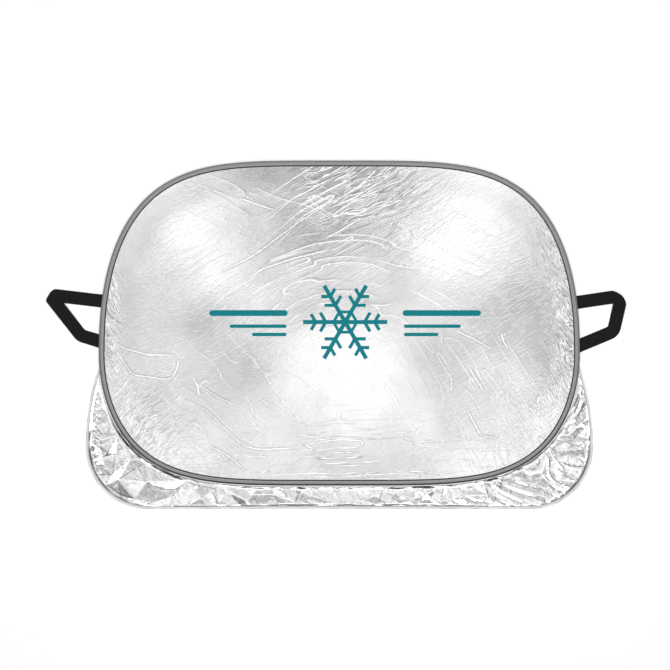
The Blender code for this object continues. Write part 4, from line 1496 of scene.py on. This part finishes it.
class SNOWCOVER_OT_webbing(bpy.types.Operator):
    """Makes the two webbing loops at the sides"""

    bl_idname = "snow_cover.webbing"
    bl_label = "Webbing loops"

    def loop(self, name, node, side, upper, fold, knee, lower, soft, material):
        """One loop: upper and lower are rises at the rim, and fold and knee are (reach, rise)."""
        def outside(reach, rise):
            return np.array([side * (HALF_WIDTH + reach), LOWER_HEIGHT + rise])

        def root(rise):
            level = LOWER_HEIGHT + rise
            return np.array([side * half_width_at(level), level])

        fold_point, knee_point = outside(*fold), outside(*knee)
        tab = root(upper) - TAB_DEPTH * unit(fold_point - root(upper))
        end = root(lower) + TAB_DEPTH * unit(root(lower) - knee_point)
        rows = webbing_rows(tab, fold_point, knee_point, end, soft)
        upper_face, lower_face, places = webbing_shell(rows)
        vertices, faces = shell(upper_face, lower_face)
        piece = add_piece(name, vertices, faces, material, [node])
        lay_out(piece.data, np.vstack([places, places]))

    def execute(self, context):
        material = webbing_finish("black_webbing_weave", context.scene.cover_colours.webbing)
        self.loop(
            "left_webbing", "left_strap", -1, LEFT_UPPER_ROOT_RISE, LEFT_FOLD, LEFT_KNEE,
            LEFT_LOWER_ROOT_RISE, LEFT_CORNER_RADII, material,
        )
        self.loop(
            "right_webbing", "right_strap", 1, RIGHT_UPPER_ROOT_RISE, RIGHT_FOLD, RIGHT_KNEE,
            RIGHT_LOWER_ROOT_RISE, RIGHT_CORNER_RADII, material,
        )
        return {"FINISHED"}


class SNOWCOVER_OT_hoop(bpy.types.Operator):
    """Gives the hidden hoop and its ferrule their steel finishes"""

    bl_idname = "snow_cover.hoop"
    bl_label = "Hoop and ferrule finish"

    def execute(self, context):
        finishes = {
            "spring_hoop": metal_finish("drawn_spring_steel", (0.45, 0.45, 0.46), 0.32, (300.0, 300.0, 40.0)),
            "hoop_ferrule": metal_finish("plated_ferrule", (0.62, 0.62, 0.60), 0.28, (30.0, 900.0, 900.0)),
        }
        for node, material in finishes.items():
            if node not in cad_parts:
                raise RuntimeError(f"The frame has no {node}")
            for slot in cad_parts[node].material_slots:
                slot.material = material
        return {"FINISHED"}


def add_panel_light(name, centre, size, brightness, target):
    """A rectangular light of even brightness at centre, facing target, that the camera doesn't see."""
    data = bpy.data.lights.new(name, "AREA")
    data.shape = "RECTANGLE"
    data.size, data.size_y = size
    data.energy = brightness * math.pi * size[0] * size[1]
    light = bpy.data.objects.new(name, data)
    aim = Vector(target) - Vector(centre)
    light.rotation_euler = aim.to_track_quat("-Z", "Y").to_euler()
    light.location = centre
    light.visible_camera = False
    bpy.context.scene.collection.objects.link(light)


class SNOWCOVER_OT_studio(bpy.types.Operator):
    """Makes the floor, the lights and the camera"""

    bl_idname = "snow_cover.studio"
    bl_label = "Studio"

    def execute(self, context):
        scene, studio = context.scene, context.scene.cover_studio
        mesh = bpy.data.meshes.new("floor")
        signs = ((-1, -1), (1, -1), (1, 1), (-1, 1))
        corners = [(x * FLOOR_REACH, y * FLOOR_REACH, FLOOR_LEVEL) for x, y in signs]
        mesh.from_pydata(corners, [], [(0, 1, 2, 3)])
        mesh.materials.append(floor_finish())
        floor = bpy.data.objects.new("floor", mesh)
        scene.collection.objects.link(floor)

        for name, x, y, z, size, brightness in (
            ("overhead_front", 0.0, -0.525, CEILING, (3.4, 0.75), 1.55 * studio.overhead),
            ("overhead_middle", 0.0, 0.270, CEILING, (3.4, 0.84), 0.46 * studio.overhead),
            ("overhead_centre", 0.02, 0.340, CEILING, (1.06, 0.98), 0.70 * studio.overhead),
            ("overhead_left", -1.14, 1.345, CEILING, (1.12, 1.31), 0.92 * studio.overhead),
            ("overhead_right", 1.14, 1.345, CEILING, (1.12, 1.31), 0.80 * studio.overhead),
            ("ring_front", MIDDLE[0], -1.65, CEILING, (4.8, 1.40), 0.15 * studio.ring),
            ("ring_back", MIDDLE[0], 2.90, CEILING, (4.8, 1.20), 0.78 * studio.ring),
            ("ring_left", -2.60, 0.70, CEILING, (1.40, 1.80), 0.80 * studio.ring),
            ("ring_right", 2.58, 0.70, CEILING, (1.40, 1.80), 0.50 * studio.ring),
            ("spot_left", -0.52, 0.780, SPOT_HEIGHT, (0.28, 0.34), studio.spots),
            ("spot_right", 0.45, 0.800, SPOT_HEIGHT, (0.36, 0.34), studio.spots),
            ("spot_low", 0.02, 0.320, SPOT_HEIGHT, (0.46, 0.40), studio.spots),
            ("glow_left", -0.50, 0.84, GLOW_HEIGHT, (0.62, 0.58), 1.3 * studio.glows),
            ("glow_right", 0.54, 1.08, GLOW_HEIGHT, (0.80, 0.70), 1.9 * studio.glows),
            ("glow_low", 0.04, 0.32, GLOW_HEIGHT, (0.90, 0.84), 0.95 * studio.glows),
            ("glow_corner_left", -0.74, 0.04, GLOW_HEIGHT, (0.52, 0.52), 1.9 * studio.glows),
            ("glow_corner_right", 0.72, 0.00, GLOW_HEIGHT, (0.56, 0.54), 2.2 * studio.glows),
            ("side_left", -3.6, 0.44, SIDE_HEIGHT, (1.1, 3.2), studio.sides),
            ("side_right", 3.6, 0.44, SIDE_HEIGHT, (1.1, 3.2), studio.sides),
            ("side_front", 0.0, -3.2, SIDE_HEIGHT, (4.6, 1.4), studio.sides),
            ("side_back", 0.0, 4.1, SIDE_HEIGHT, (4.6, 1.2), studio.sides),
        ):
            below = MIDDLE if name.startswith("side") else (x, y)
            add_panel_light(name, (x, y, z), size, brightness, (*below, 0.0))

        world = bpy.data.worlds.new("studio_surround")
        world.use_nodes = True
        background = world.node_tree.nodes["Background"]
        background.inputs["Color"].default_value = (1.0, 1.0, 1.0, 1.0)
        background.inputs["Strength"].default_value = studio.surround
        scene.world = world

        lens = bpy.data.cameras.new("camera")
        lens.sensor_width = 36.0
        lens.lens = lens.sensor_width * studio.camera_height / SEEN_WIDTH
        lens.clip_end = 100.0
        camera = bpy.data.objects.new("camera", lens)
        camera.location = (*MIDDLE, studio.camera_height)
        scene.collection.objects.link(camera)
        scene.camera = camera
        scene.view_settings.view_transform = "Standard"
        return {"FINISHED"}


class SNOWCOVER_PT_sidebar(bpy.types.Panel):
    """Lists the steps that make the snow cover"""

    bl_label = "Snow Cover"
    bl_idname = "SNOWCOVER_PT_sidebar"
    bl_space_type = "VIEW_3D"
    bl_region_type = "UI"
    bl_category = "Snow Cover"

    def draw(self, context):
        for group in ("cover_shapes", "cover_colours", "cover_studio"):
            settings = getattr(context.scene, group)
            box = self.layout.box()
            for name in settings.__annotations__:
                box.prop(settings, name)
        for step in STEPS:
            self.layout.operator(step.bl_idname)


STEPS = (
    SNOWCOVER_OT_studio,
    SNOWCOVER_OT_panel,
    SNOWCOVER_OT_backing,
    SNOWCOVER_OT_skirt,
    SNOWCOVER_OT_hem,
    SNOWCOVER_OT_binding,
    SNOWCOVER_OT_seam,
    SNOWCOVER_OT_webbing,
    SNOWCOVER_OT_hoop,
)
CLASSES = (CoverShapes, CoverColours, CoverStudio, *STEPS, SNOWCOVER_PT_sidebar)


def register():
    """Adds the classes and the scene's settings."""
    for kind in CLASSES:
        bpy.utils.register_class(kind)
    bpy.types.Scene.cover_shapes = bpy.props.PointerProperty(type=CoverShapes)
    bpy.types.Scene.cover_colours = bpy.props.PointerProperty(type=CoverColours)
    bpy.types.Scene.cover_studio = bpy.props.PointerProperty(type=CoverStudio)


def unregister():
    """Takes the classes and the scene's settings away again."""
    del bpy.types.Scene.cover_studio
    del bpy.types.Scene.cover_colours
    del bpy.types.Scene.cover_shapes
    for kind in reversed(CLASSES):
        bpy.utils.unregister_class(kind)


def main():
    """Makes the studio and every piece."""
    register()
    bpy.ops.snow_cover.studio()
    bpy.ops.snow_cover.panel()
    bpy.ops.snow_cover.backing()
    bpy.ops.snow_cover.skirt()
    bpy.ops.snow_cover.hem()
    bpy.ops.snow_cover.binding()
    bpy.ops.snow_cover.seam()
    bpy.ops.snow_cover.webbing()
    bpy.ops.snow_cover.hoop()


if __name__ == "__main__":
    main()
